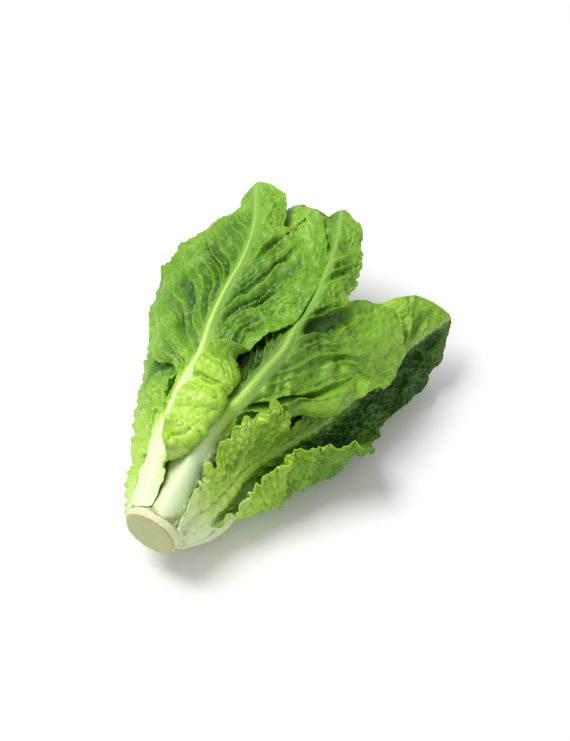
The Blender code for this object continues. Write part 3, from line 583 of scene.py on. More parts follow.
# leaf colours run from white at tone 0 to dark green at 1; mottle, vein and net are how far they shift it
leafPaint = {
    "tones": [(0.0, (0.68, 0.80, 0.48)), (0.14, (0.60, 0.77, 0.30)), (0.36, (0.41, 0.66, 0.05)),
              (0.55, (0.225, 0.45, 0.028)), (0.75, (0.115, 0.28, 0.012)), (1.0, (0.028, 0.09, 0.002))],
    "blueGreen": (0.09, 0.24, 0.08, 1), "scarBrown": (0.34, 0.19, 0.07, 1),
    "stringColour": (0.62, 0.78, 0.36, 1), "strings": 0.25, "cool": 0.8,
    "mottle": 0.14, "mottleNoise": {"Scale": 22, "Detail": 5}, "vein": 0.09, "net": 0.07,
    "shader": {"Roughness": 0.36, "Specular IOR Level": 0.4, "Subsurface Weight": 0.08,
               "Subsurface Radius": (0.5, 1.0, 0.15), "Subsurface Scale": 0.002},
}
leafSkin = {
    "wrinkles": {"Scale": 62}, "wrinkleDepth": 0.7, "grain": {"Scale": 130, "Detail": 4}, "grainDepth": 0.35,
    "strings": {"Scale": 1, "Detail": 3}, "stretch": {"Scale": (85, 3.5, 1)},
    "bump": {"Strength": 0.55, "Distance": 0.0008},
}


def leafColourGroup():
    # white to dark green along Tone, paler on veins, cooler with Blue, with a soft mottle
    group, given, result = nodeGroup("leaf colour", [
        ("Tone", "NodeSocketFloat", 0.5), ("Vein", "NodeSocketFloat", 0.0), ("Net", "NodeSocketFloat", 0.0),
        ("Blue", "NodeSocketFloat", 0.0), ("Scar", "NodeSocketFloat", 0.0),
        ("Flat", "NodeSocketVector", (0, 0, 0))], [("Color", "NodeSocketColor")])
    nodes, links = group.nodes, group.links
    mottle = textureNode(nodes, links, "Noise", given.outputs["Flat"], leafPaint["mottleNoise"])
    swing = mathNode(nodes, links, "SUBTRACT", mottle.outputs["Fac"], 0.5)
    swing = mathNode(nodes, links, "MULTIPLY", swing, leafPaint["mottle"])
    tone = mathNode(nodes, links, "ADD", given.outputs["Tone"], swing)
    for label, key in (("Vein", "vein"), ("Net", "net")):
        paler = mathNode(nodes, links, "MULTIPLY", given.outputs[label], leafPaint[key])
        tone = mathNode(nodes, links, "SUBTRACT", tone, paler)
    green = colourRamp(nodes, links, tone, leafPaint["tones"])
    cool = mathNode(nodes, links, "MULTIPLY", tone, leafPaint["cool"])
    cool = mathNode(nodes, links, "MULTIPLY", given.outputs["Blue"], cool)
    cooled = mixColour(nodes, links, cool, green, leafPaint["blueGreen"])
    links.new(mixColour(nodes, links, given.outputs["Scar"], cooled, leafPaint["scarBrown"]),
              result.inputs["Color"])
    return group


def leafSkinGroup():
    # fine wrinkles of the blade and lengthwise strings of the rib, as a height
    group, given, result = nodeGroup("leaf skin", [
        ("Rib", "NodeSocketFloat", 0.0), ("Flat", "NodeSocketVector", (0, 0, 0))],
        [("Height", "NodeSocketFloat"), ("Strings", "NodeSocketFloat")])
    nodes, links = group.nodes, group.links
    wrinkles = textureNode(nodes, links, "Voronoi", given.outputs["Flat"], leafSkin["wrinkles"])
    wrinkles.feature = "SMOOTH_F1"
    grain = textureNode(nodes, links, "Noise", given.outputs["Flat"], leafSkin["grain"])
    stretch = nodes.new("ShaderNodeMapping")
    setInputs(stretch, leafSkin["stretch"])
    links.new(given.outputs["Flat"], stretch.inputs["Vector"])
    strings = textureNode(nodes, links, "Noise", stretch.outputs["Vector"], leafSkin["strings"])
    deep = mathNode(nodes, links, "MULTIPLY", wrinkles.outputs["Distance"], leafSkin["wrinkleDepth"])
    fine = mathNode(nodes, links, "MULTIPLY", grain.outputs["Fac"], leafSkin["grainDepth"])
    offRib = mathNode(nodes, links, "SUBTRACT", 1.0, given.outputs["Rib"])
    onBlade = mathNode(nodes, links, "MULTIPLY", mathNode(nodes, links, "ADD", deep, fine), offRib)
    onRib = mathNode(nodes, links, "MULTIPLY", strings.outputs["Fac"], given.outputs["Rib"])
    links.new(mathNode(nodes, links, "ADD", onBlade, onRib), result.inputs["Height"])
    links.new(onRib, result.inputs["Strings"])
    return group


def makeLeafMaterial():
    material, shader = newMaterial("leaf blade", leafPaint["shader"])
    nodes, links = material.node_tree.nodes, material.node_tree.links
    flat = nodes.new("ShaderNodeUVMap")
    flat.uv_map = "flat"
    colour = nodes.new("ShaderNodeGroup")
    colour.node_tree = leafColourGroup()
    for label in ("Tone", "Vein", "Net", "Blue", "Scar"):
        links.new(attributeNode(nodes, label.lower()), colour.inputs[label])
    skin = nodes.new("ShaderNodeGroup")
    skin.node_tree = leafSkinGroup()
    links.new(attributeNode(nodes, "rib"), skin.inputs["Rib"])
    for group in (colour, skin):
        links.new(flat.outputs["UV"], group.inputs["Flat"])
    bumpInto(nodes, links, shader, skin.outputs["Height"], leafSkin["bump"])
    stringy = mathNode(nodes, links, "MULTIPLY", skin.outputs["Strings"], leafPaint["strings"])
    links.new(mixColour(nodes, links, stringy, colour.outputs["Color"], leafPaint["stringColour"]),
              shader.inputs["Base Color"])
    return material


leafMaterial = makeLeafMaterial()
print("leaf material made")

# fine finish of each leaf. left and right hold a blade's rows from base to tip: (share, tone beside the rib,
# tone at the margin, blister height, frill height, raggedness). A pair is for the left and the right blade:
# forward is how steeply the veins run to the tip, fold how deep the blade folds between them, bulge whether
# blisters stand out (1) or in (-1), leave how soft the change from the rib's tone is. cell is the size of a
# blister, wider how far a margin is let out, swell how far the base is, both in millimetres
plainFinish = {
    "left": [(0, 0.02, 0.05, 0, 0, 0), (0.3, 0.2, 0.4, 0.5, 0.5, 0.8), (0.6, 0.5, 0.6, 0.9, 0.8, 0.8),
             (1, 0.6, 0.62, 0.6, 0.6, 0.6)],
    "cell": 6.0, "veins": 22, "forward": (1.3, 1.3), "fold": (0.8, 0.8), "bulge": (-1, -1), "blue": 0.0,
    "ribTone": [(0, 0.0), (0.2, 0.03), (0.35, 0.12), (0.5, 0.26), (0.7, 0.4), (1, 0.52)], "slim": 0.2,
    "leave": (1, 1), "seam": 0.0, "crumple": 0.7, "billow": 1.4, "knobbly": 0.0, "wider": {},
    "swell": [(0, 0), (1, 0)],
}
innerVeins = 18
leafFinish = {
    "outer_leaf_1": {
        "left": [(0, 0.02, 0.08, 0, 0, 0), (0.12, 0.1, 0.35, 0.2, 0.5, 1), (0.3, 0.32, 0.55, 0.5, 1.0, 1.5),
                 (0.42, 0.6, 0.64, 0.45, 1.0, 0.8), (0.7, 0.7, 0.66, 0.45, 0.8, 0.7),
                 (1, 0.66, 0.62, 0.4, 0.6, 0.8)],
        "right": [(0, 0.02, 0.04, 0, 0, 0), (0.05, 0.03, 0.1, 0.2, 0.4, 1.5),
                  (0.08, 0.05, 0.24, 0.5, 1.4, 3.5), (0.12, 0.14, 0.3, 0.8, 2.4, 5.0),
                  (0.2, 0.26, 0.34, 1.15, 3.0, 5.5),
                  (0.33, 0.38, 0.46, 1.2, 2.8, 4.5), (0.4, 0.58, 0.62, 1.0, 1.2, 0.8),
                  (0.7, 0.7, 0.66, 0.9, 0.8, 0.7), (1, 0.62, 0.6, 0.5, 0.6, 0.8)],
        "cell": 3.6, "forward": (2.1, 2.5), "fold": (4.4, 5.8), "crumple": 1.5, "billow": 2.4, "seed": 11,
        "wider": {"left": [(0, 0), (0.2, 0), (0.26, 6), (0.3, 4), (0.36, 0), (1, 0)],
                  "right": [(0, 3), (0.03, 4.5), (0.08, 5), (0.13, 4), (0.2, 0), (0.42, 0), (0.5, 5),
                            (0.74, 6), (0.77, 8), (0.81, 9), (0.86, 8), (0.92, 6), (0.97, 2), (1, 0)]},
    },
    "outer_leaf_2": {
        "left": [(0, 0.02, 0.06, 0, 0, 0), (0.2, 0.3, 0.5, 0.2, 0, 0.5), (0.3, 0.66, 0.74, 0.4, 0, 0.5),
                 (0.7, 0.72, 0.78, 0.6, 0.5, 0.6), (1, 0.7, 0.75, 0.5, 0.5, 0.5)],
        "right": [(0, 0.02, 0.06, 0, 0, 0), (0.2, 0.08, 0.35, 0.2, 0.2, 0.5), (0.3, 0.45, 0.6, 0.5, 0.6, 1.0),
                  (0.38, 0.66, 0.55, 0.8, 1.8, 1.4), (0.6, 0.75, 0.58, 0.9, 1.4, 1.0),
                  (0.75, 0.66, 0.64, 0.8, 2.0, 2.4), (1, 0.68, 0.7, 0.5, 0.8, 0.8)],
        "cell": 4.0, "forward": (1.9, 1.6), "fold": (2.8, 7.0), "crumple": 1.6, "billow": 2.4, "seed": 23,
        "ribTone": [(0, 0.0), (0.16, 0.04), (0.26, 0.24), (0.4, 0.46), (0.6, 0.5), (1, 0.6)], "slim": 0.02,
        "ribScale": 0.92, "leave": (0.3, 0.7), "seam": 0.9,
    },
    "outer_leaf_3": {
        "left": [(0, 0.02, 0.06, 0, 0, 0), (0.07, 0.2, 0.32, 0.4, 1.8, 4.0),
                 (0.16, 0.27, 0.35, 1.5, 3.6, 7.5), (0.35, 0.48, 0.48, 1.9, 3.4, 7.0),
                 (0.45, 0.6, 0.5, 1.2, 1.0, 1.2), (0.7, 0.6, 0.5, 1.0, 0.8, 0.8),
                 (1, 0.62, 0.6, 0.6, 0.5, 0.6)],
        # the right blade is painted dark from mid-length to the tip: painted shade of the side that faces
        # away from the key lamp
        "right": [(0, 0.02, 0.08, 0, 0, 0), (0.1, 0.1, 0.24, 0.9, 1.8, 3.5), (0.22, 0.3, 0.38, 1.9, 3.6, 6.5),
                  (0.4, 0.58, 0.6, 2.2, 3.4, 6.0), (0.55, 0.86, 0.9, 1.4, 2.0, 2.6),
                  (1, 0.94, 0.96, 0.8, 1.0, 1.2)],
        "cell": 3.6, "forward": (1.4, 1.6), "fold": (2.8, 3.2), "bulge": (1, -1), "crumple": 1.6,
        "billow": 2.4, "knobbly": 0.9, "seed": 37,
        "ribTone": [(0, 0.02), (0.05, 0.06), (0.11, 0.24), (0.25, 0.36), (0.5, 0.42), (1, 0.5)],
        "wider": {"left": [(0, 0), (0.05, 1), (0.1, 5), (0.3, 5), (0.4, 2), (0.5, 0), (1, 0)]},
    },
    "outer_leaf_4": {
        "left": [(0, 0.02, 0.04, 0, 0, 0), (0.2, 0.06, 0.25, 0.3, 0.6, 1.0), (0.4, 0.35, 0.5, 1.2, 1.2, 2.0),
                 (0.7, 0.62, 0.68, 1, 1, 1), (1, 0.66, 0.66, 0.5, 0.5, 0.5)],
        "forward": (1.4, 1.4), "fold": (1, 1.2), "blue": 0.15, "seed": 41,
        "swell": [(0, 0), (0.03, 3), (0.1, 4.5), (0.2, 3.5), (0.35, 0), (1, 0)],
    },
    "outer_leaf_5": {
        "left": [(0, 0.2, 0.3, 0, 0, 0), (0.1, 0.36, 0.42, 1.8, 2.2, 4.5), (0.35, 0.46, 0.5, 2.0, 2.6, 5.5),
                 (0.5, 0.62, 0.72, 1.4, 1.6, 3.0), (1, 0.66, 0.66, 0.5, 0.5, 0.5)],
        "right": [(0, 0.2, 0.3, 0, 0, 0), (0.1, 0.36, 0.38, 1.8, 2.2, 4.5), (0.35, 0.46, 0.5, 2.0, 2.6, 5.5),
                  (0.5, 0.62, 0.72, 1.4, 1.6, 3.0), (1, 0.66, 0.66, 0.5, 0.5, 0.5)],
        "cell": 5.0, "fold": (1, 1), "blue": 0.2, "knobbly": 1.6, "seed": 53,
        "ribTone": [(0, 0.08), (0.06, 0.16), (0.14, 0.36), (0.3, 0.42), (0.5, 0.6), (1, 0.66)],
    },
    "outer_leaf_6": {
        "left": [(0, 0.02, 0.04, 0, 0, 0), (0.2, 0.1, 0.3, 0.4, 0.6, 1.0), (0.45, 0.5, 0.6, 1.0, 1.0, 1.0),
                 (1, 0.66, 0.66, 0.5, 0.5, 0.5)],
        "forward": (1.4, 1.4), "fold": (1.2, 1.2), "blue": 0.3, "seed": 67,
    },
}
floorGap = 0.9  # a blade's wall reaches this far below its outer face
# rows, rib columns and blade columns of the fine grids
fineness = {"front": (360, 7, 62), "outer": (160, 7, 38), "whorl": (84, 5, 20)}

# the relief that all blades share, in millimetres. A layer is (size across, size along, height, step of the
# seed), a pair (value, how much it swings with what it is read at)
relief = {
    "warp": ((24, 30, 6.5, 0), (9, 12, 3.2, 1)), "leanOut": 0.0055, "leanReach": 70, "crowding": 0.25,
    "wander": 0.6, "veinStrength": (0.7, 0.3), "veinWidth": (1.25, -0.55), "veinHeight": (0.9, -0.5),
    "branchStrength": 0.5, "branchWidth": 0.8, "bank": (0.6, 1.1), "bankLimits": (0.05, 1.3),
    "foldPower": 0.7, "foldSwing": (0.75, 0.5), "crumples": ((15, 1.0), (8, 0.6), (4, 0.34)),
    "crumpleEdge": 2.4, "domes": (0.25, -0.4), "fineDomes": (0.3, -0.4), "fineCell": (0.45, 0.5),
    "fineDomeHeight": 0.45, "frillPower": 2.2, "frill": ((8.0, 60, 1, 5), (3.7, 60, 0.7, 6)),
    "tornMargin": ((12, 1, 1, 8), (5.5, 1, 0.8, 9), (2.6, 1, 0.45, 10), (24, 1, 0.7, 11)),
    "calmMargin": ((26, 1, 1.6, 8), (11, 1, 0.5, 9)), "knobs": (1.1, 0.8, 0.6),
}
# how far the relief shifts the tone: dome, valley and crumple are painted light and shade that follow the
# relief (raised blisters and crests paler, dips and fold valleys darker), cloud is a random wander of the
# tone; and how strong the brown at a torn foot is
toneAndPaintedShade = {"cloud": 0.06, "dome": 0.05, "valley": 0.24, "crumple": 0.022, "torn": 0.75}


def finishOf(own):
    # a leaf's own values over the plain ones; where it has no rows for the right blade, both are alike
    finish = dict(plainFinish, **own)
    finish["right"] = own.get("right", finish["left"])
    return finish


def fineGrid(rows, ribColumns, bladeColumns):
    blade = np.linspace(0, 1, bladeColumns + 1)[1:]
    v = np.concatenate([-1 - blade[::-1], np.linspace(-1, 1, ribColumns), 1 + blade])
    return np.linspace(0, 1, rows), v


def swung(key, by):
    value, swing = relief[key]
    return value + swing * by


def bladeRelief(finish, flat, u):
    # height of the fine relief over the outer face, and the masks that colour it
    seed, isRight, t, d = finish["seed"], flat["isRight"], flat["t"], flat["fromRib"]
    s, l, bladeWidth = flat["across"], flat["along"], flat["width"]
    forward, fold, bulge, soft = (np.where(isRight, finish[key][1], finish[key][0])
                                  for key in ("forward", "fold", "bulge", "leave"))
    toneRib, toneMargin, blister, frill, _ = np.moveaxis(onSides(finish, u, isRight), -1, 0)
    onBlade = smoothStep(d / 4.0)

    # lateral veins leave the rib steeply towards the tip and lean out on the way to the margin
    warp = noiseLayers(s, l, seed, relief["warp"])
    rise = forward * d * (1 - relief["leanOut"] * np.minimum(d, relief["leanReach"]))
    start = (l - rise + warp * smoothStep(d / 12)) / flat["length"]
    crowding = relief["crowding"]
    count = finish["veins"] * start * (1 + crowding - crowding * start) + 0.5 * isRight
    phase = count + relief["wander"] * noise(count * 0.8, 3.0 * isRight, seed + 12)
    spacing = flat["length"] / finish["veins"]
    strength = swung("veinStrength", noise(np.round(phase) * 0.77, 7.0 * isRight, seed + 13))
    width = swung("veinWidth", t)
    fromVein = np.abs(phase - np.round(phase)) * spacing
    vein = strength * np.exp(-(fromVein / width) ** 2)
    doubled = phase * 2 + 0.5 * noise(s / 9, l / 9, seed + 4) + 0.5
    fromBranch = np.abs(doubled - np.round(phase * 2)) * spacing / 2
    branch = relief["branchStrength"] * smoothStep((t - 0.3) / 0.3)
    branch = branch * np.exp(-(fromBranch / (relief["branchWidth"] * width)) ** 2)
    vein = np.maximum(vein * (1 - 0.6 * t), branch) * (0.2 + 0.8 * smoothStep(bladeWidth / 14))

    # folds between the veins beside the rib, and wrinkles that follow them
    bank = swung("bank", noise(np.floor(phase) * 0.63, 5.0 * isRight + l / 60, seed + 14))
    bank = np.clip(bank, *relief["bankLimits"])
    window = smoothStep(d / 7) * (1 - smoothStep((t - 0.42) / 0.42)) * smoothStep((bladeWidth - 14) / 16)
    valley = np.abs(np.sin(math.pi * phase)) ** relief["foldPower"] * bank * window
    height = -fold * valley * swung("foldSwing", noise(s / 15, l / 22, seed + 18))
    wrinkle = 1 - 2.2 * np.abs(noise(phase * 1.3, d / 11, seed + 15))
    wrinkle = wrinkle + 0.8 * noise(phase * 3.3, d / 6, seed + 16)
    wide = onBlade * smoothStep(bladeWidth / 20)

    # crumples of three sizes, flatter where blisters are high and towards the margin, on slow billows
    crumple = sum(part * (1 - relief["crumpleEdge"]
                          * np.abs(noise((s + 0.5 * l) / size, l / (1.4 * size), seed + 30 + size)))
                  for size, part in relief["crumples"])
    height += (finish["crumple"] * (1 - 0.6 * smoothStep((blister - 0.9) / 0.3)) * crumple * wide
               * (1 - 0.55 * smoothStep((t - 0.6) / 0.35)))
    height += (0.35 + 0.3 * blister + 0.4 * window) * wrinkle * wide
    height += (finish["billow"] * noise(s / 27, l / 34, seed + 17) * smoothStep(d / 14)
               * smoothStep(bladeWidth / 40))

    # blisters between a net of smaller veins; some cells dip instead
    cell = finish["cell"]
    nearest, following, own = cells(s / cell + 0.25 * warp, l / (1.2 * cell) + 0.2 * warp, seed + 2)
    between = smoothStep((following - nearest) / 0.55)
    fineWide, fineLong = relief["fineCell"]
    fineNearest, fineFollowing, fineOwn = cells(s / (fineWide * cell), l / (fineLong * cell), seed + 3)
    dips, dip = relief["domes"]
    fineDips, fineDip = relief["fineDomes"]
    dome = between * (1 - 0.6 * nearest ** 2) * np.where(own > dips, 1.0, dip)
    fineDome = smoothStep((fineFollowing - fineNearest) / 0.4) * np.where(fineOwn > fineDips, 1.0, fineDip)
    away = smoothStep((d - 1.0) / 8.0)
    height += bulge * blister * (dome + relief["fineDomeHeight"] * fineDome) * away * (1 - 0.6 * vein)
    height += swung("veinHeight", t) * vein * onBlade

    # frill of the margin
    height += frill * t ** relief["frillPower"] * noiseLayers(l, s, seed, relief["frill"])
    height *= flat["rounding"] * np.where(flat["edge"] < 1, 0, 1)

    # a swollen base, and a rib that shows crumpled blade over it
    height += np.interp(u, *zip(*finish["swell"])) * (1 - smoothStep(d / 12))
    knobs = finish["knobbly"] * (1 - onBlade) * flat["rounding"]
    lumps, creases, crumples = relief["knobs"]
    height += knobs * (lumps * between * (1 - 0.6 * nearest ** 2) + creases * wrinkle + crumples * crumple)

    ribTone = along(finish["ribTone"], u)[..., 0]
    narrow = smoothStep((u - finish["slim"]) / 0.35)
    ribTone = ribTone + (toneRib - ribTone) * narrow * smoothStep((flat["edge"] - 0.1) / 0.6)
    tone = toneRib + (toneMargin - toneRib) * smoothStep(t)
    tone = tone + toneAndPaintedShade["cloud"] * noise(s / 9, l / 14, seed + 7)
    # painted light and shade: blisters that stand out are painted paler and dipping ones darker, fold valleys
    # darker, crumple crests paler
    tone = tone - toneAndPaintedShade["dome"] * bulge * dome * (blister > 0.3)
    tone = tone + toneAndPaintedShade["valley"] * valley - toneAndPaintedShade["crumple"] * crumple * onBlade
    leave = 1 - np.exp(-d / (soft * (1.5 + 6 * (1 - smoothStep(u / 0.45)))))
    tone = ribTone + (tone - ribTone) * leave
    net = (1 - smoothStep((following - nearest) / 0.16)) * away
    # brown torn patches at the foot and along the seam between two leaf bases
    torn = smoothStep((noise(s / 3.5, l / 6, seed + 21) - 0.12) / 0.25)
    torn = torn * (1 - smoothStep((l - 3) / 8)) * toneAndPaintedShade["torn"]
    seam = finish["seam"] * smoothStep((t - 0.5) / 0.4) * (1 - smoothStep((u - 0.07) / 0.05)) * ~isRight
    return height, {"tone": tone, "vein": vein * onBlade, "net": net, "rib": 1 - smoothStep(d / 2.5),
                    "scar": np.maximum(torn, seam)}


def jaggedness(finish, u, v, length):
    # how much wider or narrower a blade is along its margin
    isRight, place = v > 0, u * length
    raggedness = onSides(finish, u, isRight)[..., 4]
    torn, calm = (noiseLayers(place, isRight * 9.0, finish["seed"], relief[key])
                  for key in ("tornMargin", "calmMargin"))
    rough = smoothStep((raggedness - 1.2) / 1.2)
    wider = sum(np.interp(u, *zip(*rows)) * (isRight == (side == "right"))
                for side, rows in finish["wider"].items())
    return raggedness * (rough * torn + (1 - rough) * calm) + wider


def leafPiece(name, points, thickness, flat, height, masks, node):
    points = points + outwardNormals(points) * height[..., None]
    points[..., 2] = np.maximum(points[..., 2], floorGap - axisHeight)
    mesh, order = gridMesh(name, points * mm + headOrigin, thickness)
    i, j = order[:, 0], order[:, 1]
    for key, mask in masks.items():
        mesh.attributes.new(key, "FLOAT", "POINT").data.foreach_set("value", mask[i, j].ravel())
    loops = np.empty(len(mesh.loops), int)
    mesh.loops.foreach_get("vertex_index", loops)
    places = np.stack([flat["across"][i, j], flat["along"][i, j]], -1)[loops] / 100
    mesh.uv_layers.new(name="flat").data.foreach_set("uv", places.ravel())
    mesh.shade_smooth()
    mesh.materials.append(leafMaterial)
    obj, wall = wallObject(name, mesh)
    wall.thickness = laying["thickest"] * mm
    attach(obj, "root")
    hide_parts(node)


def readRoom(room, x, angle):
    rows, columns = room.shape
    a = np.clip(x / whorlRoom["stepX"], 0, rows - 1.001)
    b = (np.degrees(angle) + 180) / whorlRoom["stepAngle"] % columns
    i, j = np.floor(a).astype(int), np.floor(b).astype(int) % columns
    da, db = a - np.floor(a), b - np.floor(b)
    k = (j + 1) % columns
    return ((room[i, j] * (1 - db) + room[i, k] * db) * (1 - da)
            + (room[i + 1, j] * (1 - db) + room[i + 1, k] * db) * da)


def measureRoom(laid):
    # how far out the leaves laid so far leave the inside of the head free
    xs = np.arange(0, headLength, whorlRoom["stepX"])
    angles = np.radians(np.arange(-180, 180, whorlRoom["stepAngle"]))
    room = np.full((len(xs), len(angles)), whorlRoom["widest"])
    for i, x in enumerate(xs):
        for j, angle in enumerate(angles):
            hits = [firstHit(tree, x, angle) for tree in laid.values()]
            room[i, j] = min([whorlRoom["widest"]] + [hit for hit in hits if hit is not None])
    for smallest in (True, False, False):
        edge = np.pad(np.pad(room, ((1, 1), (0, 0)), mode="edge"), ((0, 0), (1, 1)), mode="wrap")
        near = [edge[a:a + room.shape[0], b:b + room.shape[1]] for a in range(3) for b in range(3)]
        room = np.min(near, axis=0) if smallest else np.minimum(room, np.mean(near, axis=0))
    return room


def whorlSurface(room, whorl, angle, length, spread, u, v, jag=0.0):
    # a leaf of a ring, curved round the head within the room
    start, share = whorl["start"], whorl["share"]
    side = np.where(v < 0, -1.0, 1.0)
    across, t = np.clip(np.abs(v), 0, 1), np.clip(np.abs(v) - 1, 0, 1)
    rounding = tipRounding(u, 2 * ribs["tipShare"])
    x = start + (length - start) * np.clip(u + whorlRoom["sweep"] * t * rounding, 0, 1)
    opening = along(whorlRoom["opening"], u)[..., 0] * rounding
    half = along(ribs["halfWidth"], u)[..., 0] * whorl["ribScale"] * rounding
    foot = np.interp(start, *stemLine)
    middle = readRoom(room, x, np.full_like(x, math.radians(angle))) * share
    turn = side * (across * half / np.maximum(middle, foot)
                   + (np.radians(spread) * opening + jag / whorlRoom["ragged"]) * t)
    around = math.radians(angle) - turn
    around = (around + math.pi) % (2 * math.pi) - math.pi
    radius = readRoom(room, x, around) * share * (1 + whorlRoom["pinwheel"] * turn / (math.pi / 2))
    crest = along(ribs["raise"], u)[..., 0] * whorl["ribScale"]
    raised = crest * (1 - across ** 2)
    radius = radius + raised - crest
    points = np.stack([x, radius * np.sin(around), radius * np.cos(around)], -1)
    width = np.radians(spread) * opening * np.maximum(middle, foot)
    flat = {"across": side * (half * across + width * t), "along": u * (length - start), "fromRib": width * t,
            "t": t, "length": length - start, "isRight": v > 0, "width": width, "rounding": rounding,
            "edge": across}
    return points, blades["thickness"] + raised, flat


def dressLeaf(name, piece, surface, coarseMoves, grid, finish, raggedLength, darkness):
    # the finely modelled leaf, carried along by (rows, columns, moves) of its coarse one
    fineRows, fineColumns = fineGrid(*fineness[grid])
    carried = onFineGrid(*coarseMoves, fineRows, fineColumns)
    u, v = np.meshgrid(fineRows, fineColumns, indexing="ij")
    points, thickness, flat = surface(u, v, jaggedness(finish, u, v, raggedLength))
    height, masks = bladeRelief(finish, flat, u)
    masks["tone"] = masks["tone"] * darkness
    masks["blue"] = np.full(u.shape, finish["blue"])
    leafPiece(piece, points + carried, thickness, flat, height, masks, name)


laid = {}
for name, leaf in outerLeaves.items():
    rows = leaf.get("rows", plainRows)
    u, v = np.meshgrid(rows, coarseColumns, indexing="ij")
    plain, thickness, _ = leafSurface(leaf, u, v)
    liesOver = (v < -1) & (u < leaf.get("overShare", 0))
    placed = settle(lay(leaf, plain, thickness, liesOver, laid), thickness)
    placed = clearOfOthers(name, placed, thickness, liesOver, laid)
    finish = finishOf(leafFinish[name])
    shown = dict(leaf, ribScale=finish.get("ribScale", leaf.get("ribScale", 1)))
    grid = "front" if name in frontLeaves else "outer"
    coarseMoves = (rows, coarseColumns, placed - plain)
    dressLeaf(name, name.replace("outer", "broad"), partial(leafSurface, shown), coarseMoves,
              grid, finish, headLength, 1.0)
    print(name, "dressed")

room = measureRoom(laid)
for kind, whorl in whorls.items():
    places = zip(whorl["angles"], whorl["lengths"], whorl["spreads"])
    for number, (angle, length, spread) in enumerate(places, 1):
        name = f"{kind}_{number}"
        surface = partial(whorlSurface, room, whorl, angle, length, spread)
        u, v = np.meshgrid(innerRows, innerColumns, indexing="ij")
        plain, thickness, _ = surface(u, v)
        placed = clearOfOthers(name, settle(plain, thickness), thickness, np.zeros_like(u, bool), laid)
        finish = finishOf({"veins": innerVeins, "seed": 100 + 7 * number + len(kind)})
        coarseMoves = (innerRows, innerColumns, placed - plain)
        dressLeaf(name, name.replace("leaf", "blade"), surface, coarseMoves, "whorl", finish,
                  length - whorl["start"], whorl["tone"])
    print(kind, "dressed")

# the stem: its profile is (radius, place along the head), spun round; faceRadius is where the skin begins
cutStem = {
    "profile": [(0, -3.4), (6, -3.6), (12, -3.9), (16, -4.0), (17.8, -3.9), (18.6, -3.5), (19.0, -2.9),
                (19.5, -2.0), (19.9, -0.8), (20.3, 0.8), (20.2, 2.2), (18.8, 3.4), (17.4, 6.5), (16.8, 11),
                (16.0, 18), (13.5, 30), (8, 50), (5, 70), (2, 90), (0, 92)],
    "cuts": 3, "sides": 120, "faceRadius": 19, "faceDepth": 0.8, "dentRadius": 17,
    "dents": ((3.5, 3.5, 0.35, 0), (1.2, 1.2, 0.15, 1)), "dentSeed": 5,
    "slowLumps": 0.5, "quickLumps": 0.6, "lumpsFrom": (14, 4), "lumpsUntil": (2, 6),
}
stemPaint = {
    "pale": (0.42, 0.46, 0.18, 1), "cream": (0.55, 0.57, 0.27, 1), "rim": (0.50, 0.37, 0.17, 1),
    "side": (0.64, 0.70, 0.40, 1),
    "rimStops": [(0.0, (0, 0, 0)), (0.92, (0.05, 0.05, 0.05)), (0.97, (1, 1, 1))],
    "mottle": {"Scale": 160, "Detail": 6}, "pores": {"Scale": 900},
    "bump": {"Strength": 0.4, "Distance": 0.0005},
    "shader": {"Roughness": 0.5, "Subsurface Weight": 0.12, "Subsurface Radius": (0.5, 0.6, 0.3),
               "Subsurface Scale": 0.003},
}


def makeStemMaterial():
    material, shader = newMaterial("cut stem", stemPaint["shader"])
    nodes, links = material.node_tree.nodes, material.node_tree.links
    place = nodes.new("ShaderNodeTexCoord").outputs["Object"]
    mottle = textureNode(nodes, links, "Noise", place, stemPaint["mottle"])
    pores = textureNode(nodes, links, "Voronoi", place, stemPaint["pores"])
    face = mixColour(nodes, links, mottle.outputs["Fac"], stemPaint["pale"], stemPaint["cream"])
    rim = colourRamp(nodes, links, attributeNode(nodes, "radius"), stemPaint["rimStops"])
    edged = mixColour(nodes, links, rim, face, stemPaint["rim"])
    links.new(mixColour(nodes, links, attributeNode(nodes, "face"), stemPaint["side"], edged),
              shader.inputs["Base Color"])
    height = mathNode(nodes, links, "ADD", mottle.outputs["Fac"], pores.outputs["Distance"])
    bumpInto(nodes, links, shader, height, stemPaint["bump"])
    return material


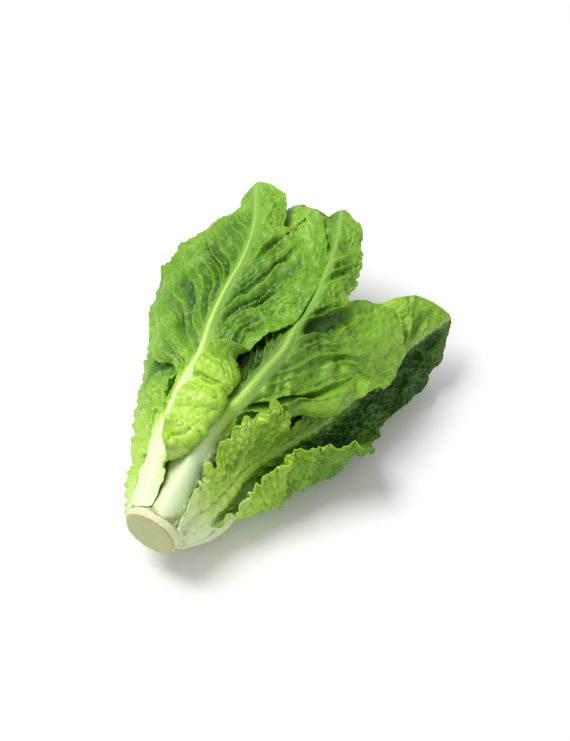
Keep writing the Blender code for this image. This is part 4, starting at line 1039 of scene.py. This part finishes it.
def makeCutStem():
    shape = bmesh.new()
    ring = [shape.verts.new((x, 0, radius)) for radius, x in cutStem["profile"]]
    edges = [shape.edges.new(pair) for pair in zip(ring, ring[1:])]
    bmesh.ops.subdivide_edges(shape, edges=edges, cuts=cutStem["cuts"])
    bmesh.ops.spin(shape, geom=shape.verts[:] + shape.edges[:], cent=(0, 0, 0), axis=(1, 0, 0),
                   angle=2 * math.pi, steps=cutStem["sides"], use_merge=True, use_duplicate=False)
    bmesh.ops.remove_doubles(shape, verts=shape.verts, dist=0.01)
    bmesh.ops.recalc_face_normals(shape, faces=shape.faces)
    mesh = bpy.data.meshes.new("cut_stem")
    shape.to_mesh(mesh)
    shape.free()
    places = np.empty(len(mesh.vertices) * 3)
    mesh.vertices.foreach_get("co", places)
    places = places.reshape(-1, 3)
    x, y, z = places.T
    radius, angle = np.hypot(y, z), np.arctan2(y, z)
    (rimStart, rimWidth), (rimEnd, rimFade) = cutStem["lumpsFrom"], cutStem["lumpsUntil"]
    rim = smoothStep((radius - rimStart) / rimWidth) * (1 - smoothStep((x - rimEnd) / rimFade))
    lump = rim * (cutStem["slowLumps"] * noise(3 * np.cos(angle) + 5, 3 * np.sin(angle) + 5, 3)
                  + cutStem["quickLumps"] * noise(angle * 9, x / 2, 8))
    face = 1 - smoothStep((x - cutPlace - cutStem["faceDepth"]) / cutStem["faceDepth"])
    dent = noiseLayers(y, z, cutStem["dentSeed"], cutStem["dents"])
    places[:, 0] = np.maximum(x + dent * face * (radius < cutStem["dentRadius"]), cutPlace)
    places[:, 1:] *= (1 + lump / np.maximum(radius, 1))[:, None]
    mesh.vertices.foreach_set("co", (places * mm + headOrigin).ravel())
    for key, mask in (("face", face), ("radius", radius / cutStem["faceRadius"])):
        mesh.attributes.new(key, "FLOAT", "POINT").data.foreach_set("value", mask)
    mesh.shade_smooth()
    mesh.materials.append(makeStemMaterial())
    obj = bpy.data.objects.new("cut_stem", mesh)
    bpy.context.scene.collection.objects.link(obj)
    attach(obj, "root")
    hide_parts("stem")


makeCutStem()
print("stem dressed")

# floor and light; a lamp's from is (right, up, towards the camera) as the camera sees the head
studio = {
    "lamps": {"key": {"energy": 15.5, "size": 0.8, "from": (-0.5, 0.75, 0.75), "away": 1.3},
              "fill": {"energy": 2, "size": 1.2, "from": (0.9, -0.2, 0.6), "away": 1.5}},
    "sky": {"Color": (1, 1, 1, 1), "Strength": 0.55}, "floorSize": 3,
    "floor": {"Base Color": (0.93, 0.93, 0.92, 1), "Roughness": 0.9},
}


def makeFloor():
    shape = bmesh.new()
    bmesh.ops.create_grid(shape, x_segments=1, y_segments=1, size=studio["floorSize"])
    mesh = bpy.data.meshes.new("floor")
    shape.to_mesh(mesh)
    shape.free()
    mesh.materials.append(newMaterial("pale floor", studio["floor"])[0])
    floor = bpy.data.objects.new("floor", mesh)
    bpy.context.scene.collection.objects.link(floor)


makeFloor()
for name, lamp in studio["lamps"].items():
    data = bpy.data.lights.new(name, "AREA")
    data.shape = "DISK"
    data.size = lamp["size"]
    data.energy = lamp["energy"]
    across, rise, near = lamp["from"]
    way = (right * across + up * rise + back * near).normalized()
    placeFacing(name, data, target + way * lamp["away"], target)
world = bpy.data.worlds.new("studio")
world.use_nodes = True
setInputs(world.node_tree.nodes["Background"], studio["sky"])
bpy.context.scene.world = world
bpy.context.scene.view_settings.view_transform = "Standard"
print("floor and light placed")
